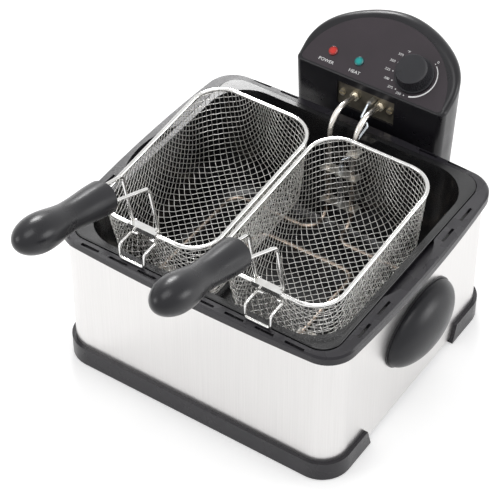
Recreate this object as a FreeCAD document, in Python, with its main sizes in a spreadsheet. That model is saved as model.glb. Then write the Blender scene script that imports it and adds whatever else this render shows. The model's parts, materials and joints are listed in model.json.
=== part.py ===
"""Dual basket deep fryer, built as separate pieces in one parametric document.

Frame: millimetres, +Z up, origin on the table under the middle of the whole fryer,
basket handles included.
The baskets' handles point to -Y (front), the control head stands at +Y (rear).
The baskets hang at their draining height, as the fryer is put on the table.
"""
import FreeCAD, Part
import math
import os
import Sketcher
from FreeCAD import Matrix, Placement, Rotation, Vector

doc = FreeCAD.newDocument("deep_fryer")
sheet = doc.addObject("Spreadsheet::Sheet", "dims")

SIZES = [
    # housing: steel wrap, base and the plastic bezel on top
    ("body_side", 16.0), ("body_end", 11.5), ("body_radius", 30.0),
    ("steel_wall", 0.8), ("body_bottom", 7.0), ("bezel_top", 184.5),
    ("lip_height", 10.0), ("shell_engagement", 2.5), ("bezel_side", 11.5),
    ("bezel_end", 7.5), ("bezel_side_bow", 8.0), ("bezel_front_bow", 6.0),
    ("bezel_radius", 34.0), ("bezel_plate", 2.5), ("bezel_edge", 2.0),
    ("ledge_thick", 2.5), ("ledge_depth", 2.8), ("boss_radius", 5.0),
    ("boss_length", 14.0), ("tie_inset_x", 17.0), ("tie_inset_y", 16.0),
    ("slot_length", 22.5), ("slot_width", 3.0), ("slot_pitch_front", 35.8),
    ("slot_pitch_side", 37.6), ("slot_row_front", 6.0), ("slot_row_side", 11.5),
    ("grip_recess_span", 101.0), ("grip_recess_reach", 13.0), ("grip_recess_drop", 5.8),
    ("recess_floor", 1.2), ("recess_shift", -3.5),
    # base
    ("strip_side", 4.5), ("strip_height", 25.0),
    ("strip_radius", 34.0), ("strip_lift", 1.2), ("strip_end", 86.0), ("strip_slant", 8.0),
    ("strip_flange", 26.0), ("tray_thick", 2.0), ("tray_lift", 1.0),
    ("vent_length", 60.0), ("vent_width", 5.0), ("vent_pitch", 16.0),
    ("foot_radius", 9.0), ("foot_sink", 3.0), ("foot_inset_x", 46.5), ("foot_inset_y", 11.0),
    ("tie_shank", 2.0), ("tie_head", 4.4), ("tie_head_height", 2.4),
    ("shield_wall", 0.6), ("shield_gap", 6.0),
    # side handles
    ("pod_length", 124.0), ("pod_height", 80.0), ("pod_reach", 26.0), ("pod_wall", 3.0),
    ("pod_level", 103.0), ("pod_shift", 6.0), ("pod_plate", 2.0), ("pod_rim", 1.5),
    ("pod_screw_span", 72.0), ("pod_boss", 5.0), ("screw_shank", 2.0), ("screw_head", 4.0),
    ("screw_head_height", 2.2),
    # oil pot
    ("pot_width", 311.0), ("pot_depth", 295.0), ("pot_radius", 46.0), ("pot_wall", 1.0),
    ("pot_taper", 9.0), ("pot_floor", 46.0), ("flange_side", 6.5), ("flange_end", 6.0),
    ("flange_radius", 22.5), ("flange_top", 186.0), ("flange_skirt", 4.0), ("pot_foot", 14.0),
    ("flange_sheet", 1.4), ("flange_edge", 1.2),
    # control head
    ("head_gap", 12.5), ("head_half", 94.8), ("head_straight", 20.0), ("head_round", 72.0),
    ("head_bottom", 118.0), ("exit_depth", 21.0), ("panel_angle", 30.0), ("head_draft", 0.04),
    ("head_corner", 8.0), ("edge_front", 2.0), ("edge_side", 6.0), ("edge_shoulder", 12.5),
    ("edge_rear", 13.0), ("edge_inside", 0.5),
    ("head_wall", 2.8), ("seam_setback", 18.0), ("seam_drop", 16.0), ("seam_bend", 10.0),
    ("panel_half", 89.0), ("panel_front", 2.6), ("panel_rise", 80.0), ("panel_thick", 0.8),
    ("panel_corner", 5.0),
    ("panel_gap", 0.1), ("cover_screw_x", 70.0), ("cover_screw_low", 133.0),
    ("cover_screw_high", 190.0), ("cover_screw_seat", 34.0), ("cover_boss", 6.0),
    ("cover_boss_wall", 6.0), ("cover_screw_length", 22.0),
    # panel: lamps, knob and thermostat
    ("lamp_radius", 5.6), ("lamp_height", 1.6), ("lamp_body", 4.6), ("lamp_depth", 16.0),
    ("lamp_rise", 22.8), ("power_lamp_x", -57.2), ("heat_lamp_x", -23.7),
    ("knob_x", 42.0), ("knob_rise", 31.8), ("knob_radius", 22.2), ("knob_top_radius", 17.8),
    ("knob_height", 17.0), ("knob_skirt", 3.0), ("knob_step", 1.6), ("knob_gap", 0.6),
    ("knob_bore_depth", 11.0), ("shaft_radius", 3.0), ("shaft_fit", 0.05), ("shaft_sink", 14.0),
    ("thermostat_radius", 17.0), ("thermostat_depth", 18.0), ("thermostat_plate", 1.5),
    ("thermostat_plate_half", 18.0),
    # element bracket in the front wall's window
    ("window_width", 73.0), ("window_height", 32.0), ("window_sink", 3.6), ("window_x", -2.5),
    ("plate_margin", 4.0), ("plate_thick", 1.5), ("plate_screw_span", 60.4),
    ("plate_screw_rise", 1.1), ("plate_boss", 4.5), ("plate_boss_length", 8.0),
    ("plate_screw_head", 3.6), ("plate_screw_head_height", 2.4),
    # dock on the steel's rear wall
    ("dock_width", 124.0), ("dock_low", 40.0), ("dock_high", 150.0), ("dock_plate", 4.0),
    ("rail_half", 50.0), ("rail_stem", 6.0), ("rail_flange", 16.0), ("rail_hook", 4.0),
    ("rail_clear", 0.5), ("ledge_reach", 46.0), ("ledge_height", 5.0), ("rib_half", 30.0),
    ("rib_thick", 4.0), ("rib_margin", 6.0), ("dock_screw_x", 36.0), ("dock_screw_inset", 10.0),
    ("dock_screw_tail", 3.0),
    # socket, reset button, limit switch and terminal block
    ("socket_width", 34.0), ("socket_height", 20.0), ("socket_depth", 14.0),
    ("socket_level", 150.0), ("socket_x", -30.0), ("socket_rim", 2.5), ("socket_well", 9.0),
    ("pin_radius", 2.0), ("pin_span", 14.0), ("pin_out", 6.0), ("pin_tail", 5.0),
    ("reset_x", 30.0), ("reset_level", 150.0), ("reset_radius", 4.5), ("reset_travel", 2.0),
    ("reset_proud", 3.0), ("reset_length", 14.0), ("switch_radius", 11.0), ("switch_depth", 26.0),
    ("block_width", 40.0), ("block_depth", 16.0), ("block_height", 14.0), ("block_place", 34.0),
    # heating element, its sensor and their clips
    ("tube_radius", 3.4), ("element_half", 16.0), ("element_exit", 203.0),
    ("element_rise", 10.0), ("riser_inset", 19.0), ("riser_bend", 23.5), ("tube_tail", 16.0),
    ("element_level", 66.0), ("coil_bend", 16.0), ("coil_side", 33.5), ("coil_inner", 62.0),
    ("coil_rear", 51.5), ("coil_ahead", 35.5), ("coil_turn", 62.0), ("nut_radius", 6.0),
    ("nut_height", 4.0), ("capillary_radius", 1.5), ("capillary_x", 7.5),
    ("capillary_lift", 4.5), ("capillary_bend", 4.8), ("capillary_out", 31.0),
    ("capillary_dip", 4.0), ("capillary_drop", 17.0), ("capillary_fall", 166.0),
    ("bulb_radius", 3.2), ("bulb_top", 146.0), ("bulb_length", 66.0), ("gland_radius", 3.1),
    ("gland_length", 11.5), ("stay_thick", 1.5), ("stay_width", 10.0), ("stay_place", -40.0),
    ("stay_overhang", 8.0), ("clip_thick", 1.2), ("clip_margin", 3.5), ("clip_spread", 46.0),
    # baskets
    ("basket_side", 11.9), ("basket_middle", 3.8), ("basket_ahead", 16.3),
    ("basket_rear", 61.3), ("basket_corner", 33.8),
    ("rim_radius", 2.3), ("basket_level", 220.7),
    ("basket_pitch", 4.7), ("mesh_wall", 1.5), ("mesh_depth", 97.0), ("mesh_taper", 9.5),
    ("mesh_foot", 14.0), ("mesh_hang", 0.1), ("hook_radius", 1.6), ("hook_half", 15.3),
    ("hook_level", 204.5), ("hook_past", 8.0), ("hook_bend", 4.0), ("hook_foot", 7.0),
    ("left_hook_shift", -1.3), ("right_hook_shift", 5.4), ("left_saddle_shift", -4.2),
    ("right_saddle_shift", 0.2), ("saddle_width", 34.0), ("saddle_drop", 3.0),
    ("saddle_sheet", 0.8), ("saddle_back", 1.6),
    ("pivot_inset", 4.8), ("ear_x", 13.0), ("ear_thick", 1.2), ("ear_margin", 1.3),
    ("flange_clear", 0.6),
    # basket handles
    ("wire_radius", 2.0), ("pin_fit", 0.05), ("wire_half", 16.5), ("wire_end_half", 13.0),
    ("wire_foot", 6.5), ("foot_bend", 2.5), ("wire_bend", 12.0), ("wire_rise", 71.0),
    ("wire_lean", 14.0), ("left_grip_start", 66.3), ("right_grip_start", 60.3), ("grip_rise", 90.1),
    ("grip_angle", 18.3),
    ("grip_skew", 2.0), ("grip_length", 140.4), ("grip_end_radius", 18.5),
    ("grip_waist_radius", 15.6), ("grip_bulb_radius", 19.8), ("grip_waist_at", 59.0),
    ("grip_bulb_at", 105.0), ("grip_edge", 1.5), ("grip_flatten", 0.95), ("wire_hold", 34.0),
    ("wire_lead", 3.0),
    # the housing's middle stands behind the frame's origin
    ("housing_place", 27.0),
    # fits
    ("seat_gap", 0.3), ("slide_gap", 0.5), ("thread_fit", 0.05), ("hole_clear", 0.3),
]
for row, (alias, value) in enumerate(SIZES, start=1):
    sheet.set("A%d" % row, alias)
    sheet.set("B%d" % row, str(value))
    sheet.setAlias("B%d" % row, alias)
DERIVED = [
    # the housing, its rim, the element and the baskets take their sizes from the pot
    ("flange_width", "=pot_width + 2 * flange_side"),
    ("flange_depth", "=pot_depth + 2 * flange_end"),
    ("body_width", "=pot_width + 2 * body_side"),
    ("body_depth", "=pot_depth + 2 * body_end"),
    ("bezel_width", "=body_width + 2 * bezel_side"),
    ("bezel_depth", "=body_depth + 2 * bezel_end"),
    ("strip_width", "=body_width + 2 * strip_side"),
    ("strip_depth", "=body_depth + 2 * strip_side"),
    ("basket_half", "=(pot_width / 2 - basket_side - basket_middle) / 2"),
    ("basket_long", "=(pot_depth - basket_ahead - basket_rear) / 2"),
    ("basket_x", "=basket_middle + basket_half"),
    ("basket_y", "=basket_ahead + basket_long - pot_depth / 2"),
    ("hook_place", "=-pot_depth / 2 - hook_past"),
    ("riser_place", "=pot_depth / 2 - riser_inset"),
    ("coil_half", "=pot_width / 2 - coil_side"),
    ("coil_back", "=pot_depth / 2 - coil_rear"),
    ("coil_front", "=coil_ahead - pot_depth / 2"),
    ("shell_inner_width", "=body_width - 2 * steel_wall"),
    ("shell_inner_depth", "=body_depth - 2 * steel_wall"),
    ("shell_inner_radius", "=body_radius - steel_wall"),
    ("shell_height", "=bezel_top - lip_height + shell_engagement - seat_gap - body_bottom"),
    ("tray_width", "=shell_inner_width - 2 * hole_clear"),
    ("tray_depth", "=shell_inner_depth - 2 * hole_clear"),
    ("tray_radius", "=shell_inner_radius - hole_clear"),
    ("tray_low", "=body_bottom + tray_lift"),
    ("tray_high", "=body_bottom + tray_lift + tray_thick"),
    ("shield_width", "=pot_width + 2 * shield_gap"),
    ("shield_depth", "=pot_depth + 2 * shield_gap"),
    ("shield_inner_width", "=pot_width + 2 * shield_gap - 2 * shield_wall"),
    ("shield_inner_depth", "=pot_depth + 2 * shield_gap - 2 * shield_wall"),
    ("shield_radius", "=pot_radius + shield_gap"),
    ("shield_inner_radius", "=pot_radius + shield_gap - shield_wall"),
    ("rebate_floor", "=bezel_top - ledge_depth"),
    ("shield_height", "=bezel_top - grip_recess_drop - recess_floor - seat_gap - tray_high"),
    ("handle_hole", "=screw_shank + hole_clear"),
    ("dock_screw_low", "=dock_low + dock_screw_inset"),
    ("dock_screw_high", "=dock_high - dock_screw_inset"),
    ("pod_screw_front", "=pod_shift - pod_screw_span / 2"),
    ("pod_screw_rear", "=pod_shift + pod_screw_span / 2"),
    ("tie_x", "=body_width / 2 - tie_inset_x"),
    ("tie_y", "=body_depth / 2 - tie_inset_y"),
    ("tie_hole", "=tie_shank + hole_clear"),
    ("knob_bore", "=shaft_radius + shaft_fit"),
    ("head_front", "=bezel_depth / 2 + head_gap"),
    ("panel_base", "=element_exit + exit_depth"),
    ("window_level", "=element_exit - window_sink"),
    ("capillary_level", "=element_exit + capillary_lift"),
]
for row, (alias, formula) in enumerate(DERIVED, start=1):
    sheet.set("D%d" % row, alias)
    sheet.set("E%d" % row, formula)
    sheet.setAlias("E%d" % row, alias)
doc.recompute()

NODES = []


def dim(alias):
    """Value of one cell of the sheet."""
    return float(sheet.get(alias))


def node(obj, label):
    """Register a sub-part under the name that its file takes."""
    obj.Label = label
    NODES.append(obj)
    return obj


def solid(label, shape):
    """Sub-part whose shape is worked out here from the sheet's values."""
    obj = doc.addObject("Part::Feature", label)
    obj.Shape = shape
    return node(obj, label)


def group(label, shapes):
    """Sub-part made of several like pieces, each its own solid."""
    return solid(label, Part.makeCompound(shapes))


def body(label):
    return node(doc.addObject("PartDesign::Body", label), label)


def sketch(owner, name, role="XY_Plane", height=None):
    """Sketch on one of the body's own planes, lifted by a cell of the sheet."""
    plane = next(item for item in owner.Origin.OriginFeatures if item.Role == role)
    made = owner.newObject("Sketcher::SketchObject", name)
    made.AttachmentSupport = [(plane, "")]
    made.MapMode = "FlatFace"
    if height:
        made.setExpression("AttachmentOffset.Base.z", "dims." + height)
    return made


def constrain(made, kind, *where, cell=None, value=1.0):
    """Driving constraint, bound to a cell of the sheet."""
    index = made.addConstraint(Sketcher.Constraint(kind, *where, value))
    made.setExpression("Constraints[%d]" % index, cell)


def sketch_rounded(made, width, depth, radius):
    """Rounded rectangle about the sketch's origin, its three sizes bound to cells."""
    half_w = dim(width) / 2
    half_d = dim(depth) / 2
    r = dim(radius)
    first = made.GeometryCount
    for quarter, (sx, sy) in enumerate(((1, 1), (-1, 1), (-1, -1), (1, -1))):
        corner = Vector(sx * (half_w - r), sy * (half_d - r), 0)
        circle = Part.Circle(corner, Vector(0, 0, 1), r)
        start = quarter * math.pi / 2
        made.addGeometry(Part.ArcOfCircle(circle, start, start + math.pi / 2), False)
        turn = ((-1, 1), (-1, -1), (1, -1), (1, 1))[quarter]
        here = corner + (Vector(0, sy * r, 0) if quarter % 2 == 0 else Vector(sx * r, 0, 0))
        if quarter % 2 == 0:
            there = Vector(turn[0] * (half_w - r), sy * half_d, 0)
        else:
            there = Vector(sx * half_w, turn[1] * (half_d - r), 0)
        made.addGeometry(Part.LineSegment(here, there), False)
    for side in range(8):
        made.addConstraint(Sketcher.Constraint(
            "Tangent", first + side, 2, first + (side + 1) % 8, 1))
    made.addConstraint(Sketcher.Constraint("Horizontal", first + 1))
    made.addConstraint(Sketcher.Constraint("Vertical", first + 3))
    for arc in (2, 4, 6):
        made.addConstraint(Sketcher.Constraint("Equal", first, first + arc))
    made.addConstraint(Sketcher.Constraint("Symmetric", first, 3, first + 4, 3, -1, 1))
    constrain(made, "Radius", first, cell="dims." + radius, value=r)
    constrain(made, "DistanceX", -1, 1, first, 1, cell="dims.%s / 2" % width, value=half_w)
    constrain(made, "DistanceY", -1, 1, first, 2, cell="dims.%s / 2" % depth, value=half_d)


def sketch_circle(made, x, y, radius, cells):
    """Circle at positive x and y, its place and radius bound to the given cells."""
    first = made.GeometryCount
    made.addGeometry(Part.Circle(Vector(x, y, 0), Vector(0, 0, 1), radius), False)
    constrain(made, "DistanceX", -1, 1, first, 3, cell=cells[0], value=x)
    constrain(made, "DistanceY", -1, 1, first, 3, cell=cells[1], value=y)
    constrain(made, "Radius", first, cell=cells[2], value=radius)


def pad(owner, profile, length):
    made = owner.newObject("PartDesign::Pad", owner.Label + "_pad")
    made.Profile = profile
    made.setExpression("Length", "dims." + length)
    return made


def drill(owner, profile, sides="Symmetric"):
    """Pocket right through the body, both ways from the sketch or one way only."""
    made = owner.newObject("PartDesign::Pocket", owner.Label + "_holes")
    made.Profile = profile
    made.Type = "ThroughAll"
    made.SideType = sides
    return made


def rounded_wire(width, depth, radius, z):
    """Rounded rectangle of lines and arcs about the Z axis at height z."""
    half_w = width / 2
    half_d = depth / 2
    near = radius * (1 - math.sqrt(0.5))
    edges = []
    for sx, sy in ((1, 1), (-1, 1), (-1, -1), (1, -1)):
        on_side = Vector(sx * half_w, sy * (half_d - radius), z)
        middle = Vector(sx * (half_w - near), sy * (half_d - near), z)
        on_end = Vector(sx * (half_w - radius), sy * half_d, z)
        ends = (on_side, on_end) if sx * sy > 0 else (on_end, on_side)
        edges.append(Part.Arc(ends[0], middle, ends[1]).toShape())
    corners = []
    for index, edge in enumerate(edges):
        following = edges[(index + 1) % 4]
        corners.append(edge)
        corners.append(Part.LineSegment(edge.lastVertex(True).Point,
                                        following.firstVertex(True).Point).toShape())
    return Part.Wire(corners)


def rounded_prism(width, depth, radius, low, high):
    face = Part.Face(rounded_wire(width, depth, radius, low))
    return face.extrude(Vector(0, 0, high - low))


def rounded_loft(lower, upper):
    """Solid between two rounded rectangles, each (width, depth, radius, z)."""
    return Part.makeLoft([rounded_wire(*lower), rounded_wire(*upper)], True, True)


def box(x, y, z):
    """Box from three (low, high) pairs."""
    corner = Vector(x[0], y[0], z[0])
    return Part.makeBox(x[1] - x[0], y[1] - y[0], z[1] - z[0], corner)


def cylinder(radius, start, end):
    """Round bar between two points."""
    start = Vector(*start)
    axis = Vector(*end) - start
    return Part.makeCylinder(radius, axis.Length, start, axis)


def bent_wire(points, bends):
    """Path of straight runs through the points, each corner an arc of its own radius."""
    points = [Vector(*point) for point in points]
    edges = []
    here = points[0]
    for before, corner, after, bend in zip(points, points[1:], points[2:], bends):
        inward = (corner - before).normalize()
        outward = (after - corner).normalize()
        turn = inward.getAngle(outward)
        reach = bend * math.tan(turn / 2)
        start = corner - inward * reach
        end = corner + outward * reach
        centre = corner + (outward - inward).normalize() * (bend / math.cos(turn / 2))
        middle = centre + (corner - centre).normalize() * bend
        if (start - here).Length > 1e-6:
            edges.append(Part.LineSegment(here, start).toShape())
        edges.append(Part.Arc(start, middle, end).toShape())
        here = end
    edges.append(Part.LineSegment(here, points[-1]).toShape())
    return Part.Wire(edges)


def rod(points, bend, radius):
    """Round wire or tube bent along the points, with one bend radius or a list of them."""
    bends = bend if isinstance(bend, list) else [bend] * (len(points) - 2)
    path = bent_wire(points, bends)
    start = Vector(*points[0])
    heading = Vector(*points[1]) - start
    profile = Part.Wire([Part.makeCircle(radius, start, heading)])
    return path.makePipeShell([profile], True, False)


def screw(at, axis, head_radius, head_height, shank_radius, length):
    """Pan-head screw: the head's underside at the given point, the shank along the axis."""
    at = Vector(*at)
    axis = Vector(*axis).normalize()
    head = Part.makeCylinder(head_radius, head_height, at - axis * head_height, axis)
    shank = Part.makeCylinder(shank_radius, length, at, axis)
    slot = Part.makeBox(head_radius * 3, head_height * 0.3, head_height * 0.5)
    slot.translate(Vector(-head_radius * 1.5, -head_height * 0.15, -head_height))
    slot.Placement = Placement(at, Rotation(Vector(0, 0, 1), axis)) * slot.Placement
    return head.fuse(shank).cut(slot).removeSplitter()


def mirrored(shape):
    """The same piece on the other side of the fryer's middle plane."""
    return shape.mirror(Vector(0, 0, 0), Vector(1, 0, 0))


# --- housing -------------------------------------------------------------------

def bowed_prism(margin, low, high):
    """The bezel's outline, four bowed sides with round corners, drawn in by a margin."""
    half_w = dim("bezel_width") / 2 - margin
    half_d = dim("bezel_depth") / 2 - margin
    corner_x = half_w - dim("bezel_side_bow")
    corner_y = half_d - dim("bezel_front_bow")
    corners = [Vector(sx * corner_x, sy * corner_y, low)
               for sx, sy in ((1, -1), (1, 1), (-1, 1), (-1, -1))]
    crowns = [Vector(half_w, 0, low), Vector(0, half_d, low),
              Vector(-half_w, 0, low), Vector(0, -half_d, low)]
    edges = [Part.Arc(corners[i], crowns[i], corners[(i + 1) % 4]).toShape() for i in range(4)]
    prism = Part.Face(Part.Wire(edges)).extrude(Vector(0, 0, high - low))
    upright = [edge for edge in prism.Edges if edge.Curve.TypeId == "Part::GeomLine"]
    return prism.makeFillet(dim("bezel_radius") - margin, upright)


def outer_shell():
    """Steel wrap: one rounded ring of sheet, drilled for the side handles' screws."""
    made = body("outer_shell")
    ring = sketch(made, "shell_ring", height="body_bottom")
    sketch_rounded(ring, "body_width", "body_depth", "body_radius")
    sketch_rounded(ring, "shell_inner_width", "shell_inner_depth", "shell_inner_radius")
    pad(made, ring, "shell_height")
    doc.recompute()
    for name, cell in (("front", "pod_screw_front"), ("rear", "pod_screw_rear")):
        holes = sketch(made, "handle_hole_" + name, role="YZ_Plane")
        y = dim(cell)
        first = holes.GeometryCount
        holes.addGeometry(Part.Circle(Vector(y, dim("pod_level"), 0), Vector(0, 0, 1), 2.3), False)
        if y < 0:
            constrain(holes, "DistanceX", first, 3, -1, 1, cell="-dims." + cell, value=-y)
        else:
            constrain(holes, "DistanceX", -1, 1, first, 3, cell="dims." + cell, value=y)
        constrain(holes, "DistanceY", -1, 1, first, 3, cell="dims.pod_level", value=100)
        constrain(holes, "Radius", first, cell="dims.handle_hole", value=2.3)
        drill(made, holes)
        doc.recompute()
    rear = sketch(made, "dock_holes", role="XZ_Plane")
    for side in (-1, 1):
        for cell in ("dock_screw_low", "dock_screw_high"):
            first = rear.GeometryCount
            place = Vector(side * dim("dock_screw_x"), dim(cell), 0)
            rear.addGeometry(Part.Circle(place, Vector(0, 0, 1), 2.3), False)
            if side < 0:
                constrain(rear, "DistanceX", first, 3, -1, 1, cell="dims.dock_screw_x", value=36)
            else:
                constrain(rear, "DistanceX", -1, 1, first, 3, cell="dims.dock_screw_x", value=36)
            constrain(rear, "DistanceY", -1, 1, first, 3, cell="dims." + cell, value=dim(cell))
            constrain(rear, "Radius", first, cell="dims.handle_hole", value=2.3)
    drill(made, rear, "One side")
    return made


def grip_recess(margin, low, high):
    """Lens beside the pot's rim where fingers reach under it, on the right-hand side."""
    reach = dim("grip_recess_reach") + margin
    half = dim("grip_recess_span") / 2 + margin
    radius = (half ** 2 + reach ** 2) / (2 * reach)
    edge = dim("flange_width") / 2 + 1
    centre = Vector(edge + reach - radius, dim("recess_shift"), low)
    disc = Part.makeCylinder(radius, high - low, centre)
    inside = box((edge - dim("flange_skirt"), edge + reach + 1),
                 (centre.y - half, centre.y + half), (low - 1, high + 1))
    return disc.common(inside)


def bezel_slots():
    """Rows of cooling slots round the bezel's top."""
    top = dim("bezel_top")
    long = dim("slot_length") / 2
    wide = dim("slot_width") / 2
    deep = (top - dim("bezel_plate") - 8, top + 1)
    row_y = dim("bezel_depth") / 2 - dim("slot_row_front")
    row_x = dim("bezel_width") / 2 - dim("slot_row_side")
    cuts = []
    for step in range(8):
        x = (step - 3.5) * dim("slot_pitch_front")
        cuts.append(box((x - long, x + long), (-row_y - wide, -row_y + wide), deep))
        if step in (0, 1, 6, 7):
            cuts.append(box((x - long, x + long), (row_y - wide, row_y + wide), deep))
    outer = dim("recess_shift") + 2.7 * dim("slot_pitch_side")
    for y in (outer, outer - dim("slot_pitch_side")):
        for place in (y, 2 * dim("recess_shift") - y):
            for side in (-1, 1):
                x = side * row_x
                cuts.append(box((x - wide, x + wide), (place - long, place + long), deep))
    return cuts


def top_bezel():
    """Plastic bezel: bowed lip over the steel, rebate for the pot's rim, slots, recesses."""
    top = dim("bezel_top")
    low = top - dim("lip_height")
    under = top - dim("bezel_plate")
    seat = low + dim("shell_engagement")
    clear = 2 * dim("hole_clear")
    shape = bowed_prism(0, low, top)
    upper = [edge for edge in shape.Edges
             if min(v.Z for v in edge.Vertexes) > top - 1e-3]
    shape = shape.makeChamfer(dim("bezel_edge"), upper)
    shape = shape.cut(rounded_prism(dim("body_width") + clear, dim("body_depth") + clear,
                                    dim("body_radius") + clear / 2, low - 1, seat))
    inner = 2 * dim("bezel_plate")
    shape = shape.cut(rounded_prism(dim("shell_inner_width") - inner, dim("shell_inner_depth") - inner,
                                    dim("shell_inner_radius") - inner / 2, seat - 1, under))
    floor = dim("rebate_floor")
    play = 2.0
    ledge = rounded_prism(dim("flange_width") + play + 5, dim("flange_depth") + play + 5,
                          dim("flange_radius") + play / 2 + 2.5, floor - dim("ledge_thick"), top - 1)
    cups = [grip_recess(dim("recess_floor"), top - dim("grip_recess_drop") - dim("recess_floor"),
                        top - 1)]
    cups.append(mirrored(cups[0]))
    bosses = []
    for sx in (-1, 1):
        for sy in (-1, 1):
            x = sx * dim("tie_x")
            y = sy * dim("tie_y")
            bosses.append(cylinder(dim("boss_radius"), (x, y, under - dim("boss_length")),
                                   (x, y, under + 0.5)))
    shape = shape.multiFuse([ledge] + cups + bosses)
    shape = shape.cut(rounded_prism(dim("flange_width") + play, dim("flange_depth") + play,
                                    dim("flange_radius") + play / 2, floor, top + 1))
    gap = 2 * dim("shield_gap") / 4
    shape = shape.cut(rounded_prism(dim("pot_width") + gap, dim("pot_depth") + gap,
                                    dim("pot_radius") + gap / 2, low - 20, top + 1))
    recess = grip_recess(0, top - dim("grip_recess_drop"), top + 1)
    cuts = bezel_slots() + [recess, mirrored(recess)]
    for boss_x, boss_y in tie_places():
        cuts.append(cylinder(dim("tie_shank") + dim("thread_fit"),
                             (boss_x, boss_y, under - dim("boss_length") - 1),
                             (boss_x, boss_y, under - 1)))
    shape = shape.cut(Part.makeCompound(cuts))
    return solid("top_bezel", shape.removeSplitter())


def tie_places():
    """Where the four long screws run from the base up to the bezel."""
    return [(sx * dim("tie_x"), sy * dim("tie_y")) for sx in (-1, 1) for sy in (-1, 1)]


def foot_places():
    """The four rubber feet, under the front and rear strips."""
    x = dim("strip_width") / 2 - dim("foot_inset_x")
    y = dim("strip_depth") / 2 - dim("foot_inset_y") - dim("foot_radius") / 2
    return [(sx * x, sy * y) for sx in (-1, 1) for sy in (-1, 1)]


def base_strip(label, side):
    """One of the two plastic strips round the foot of the steel, front or rear."""
    low = dim("strip_lift")
    high = dim("strip_height")
    bottom = dim("body_bottom") - dim("seat_gap")
    outer = rounded_prism(dim("strip_width"), dim("strip_depth"), dim("strip_radius"), low, high)
    wall = outer.cut(rounded_prism(dim("body_width"), dim("body_depth"), dim("body_radius"),
                                   bottom, high + 1))
    inset = 2 * dim("strip_flange")
    wall = wall.cut(rounded_prism(dim("body_width") - inset, dim("body_depth") - inset,
                                  max(dim("body_radius") - inset / 2, 4.0), low - 1, bottom + 1))
    far = dim("strip_depth")
    end_low = dim("strip_end")
    end_high = end_low + dim("strip_slant")
    profile = Part.makePolygon([Vector(0, side * end_low, low - 1), Vector(0, side * far, low - 1),
                                Vector(0, side * far, high + 1), Vector(0, side * end_high, high + 1),
                                Vector(0, side * end_low, low - 1)])
    wedge = Part.Face(profile).extrude(Vector(2 * dim("strip_width"), 0, 0))
    wedge.translate(Vector(-dim("strip_width"), 0, 0))
    shape = wall.common(wedge)
    cuts = []
    for x, y in foot_places():
        if y * side > 0:
            cuts.append(cylinder(dim("foot_radius"), (x, y, low - 1), (x, y, low + dim("foot_sink"))))
    for x, y in tie_places():
        if y * side > 0:
            cuts.append(cylinder(dim("tie_head") + dim("hole_clear"), (x, y, low - 1),
                                 (x, y, low + dim("tie_head_height") + dim("hole_clear"))))
            cuts.append(cylinder(dim("tie_hole"), (x, y, low - 1), (x, y, high)))
    return solid(label, shape.cut(Part.makeCompound(cuts)))


def rubber_feet():
    top = dim("strip_lift") + dim("foot_sink")
    feet = []
    for x, y in foot_places():
        foot = cylinder(dim("foot_radius"), (x, y, 0), (x, y, top))
        rim = [edge for edge in foot.Edges if edge.BoundBox.ZMax < 1e-6 and edge.BoundBox.XLength > 1]
        feet.append(foot.makeChamfer(dim("strip_lift") / 2, rim))
    return group("rubber_feet", feet)


def base_tray():
    """Pressed tray that closes the housing, with a row of vents."""
    made = body("base_tray")
    plate = sketch(made, "tray_plate", height="tray_low")
    sketch_rounded(plate, "tray_width", "tray_depth", "tray_radius")
    pad(made, plate, "tray_thick")
    doc.recompute()
    ties = sketch(made, "tie_holes")
    for sx in (-1, 1):
        for sy in (-1, 1):
            x = sx * dim("tie_x")
            y = sy * dim("tie_y")
            first = ties.GeometryCount
            ties.addGeometry(Part.Circle(Vector(x, y, 0), Vector(0, 0, 1), 2.3), False)
            across = (-1, 1, first, 3) if sx > 0 else (first, 3, -1, 1)
            along = (-1, 1, first, 3) if sy > 0 else (first, 3, -1, 1)
            constrain(ties, "DistanceX", *across, cell="dims.tie_x", value=abs(x))
            constrain(ties, "DistanceY", *along, cell="dims.tie_y", value=abs(y))
            constrain(ties, "Radius", first, cell="dims.tie_hole", value=2.3)
    drill(made, ties)
    doc.recompute()
    vents = sketch(made, "vents")
    half = dim("vent_length") / 2
    wide = dim("vent_width") / 2
    for step in range(6):
        y = (step - 2.5) * dim("vent_pitch")
        corners = [Vector(-half, y - wide, 0), Vector(half, y - wide, 0),
                   Vector(half, y + wide, 0), Vector(-half, y + wide, 0)]
        for index in range(4):
            vents.addGeometry(Part.LineSegment(corners[index], corners[(index + 1) % 4]), False)
    drill(made, vents)
    return made


def tie_screws():
    """Four long screws that clamp strips, tray, steel and bezel together."""
    under = dim("bezel_top") - dim("bezel_plate")
    low = dim("strip_lift") + dim("tie_head_height")
    made = []
    for x, y in tie_places():
        length = under - 3 - low
        made.append(screw((x, y, low), (0, 0, 1), dim("tie_head"), dim("tie_head_height"),
                          dim("tie_shank"), length))
    return group("tie_screws", made)


def heat_shield():
    """Sheet liner between the pot and the steel."""
    made = body("heat_shield")
    ring = sketch(made, "shield_ring", height="tray_high")
    sketch_rounded(ring, "shield_width", "shield_depth", "shield_radius")
    sketch_rounded(ring, "shield_inner_width", "shield_inner_depth", "shield_inner_radius")
    pad(made, ring, "shield_height")
    return made


def half_dome(length, height, reach):
    """Half of an ellipsoid that stands on the plane x = 0."""
    ball = Part.makeSphere(1.0)
    ball = ball.common(Part.makeBox(2, 4, 4, Vector(0, -2, -2)))
    stretch = Matrix()
    stretch.A11 = reach
    stretch.A22 = length / 2
    stretch.A33 = height / 2
    return ball.transformGeometry(stretch)


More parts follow.
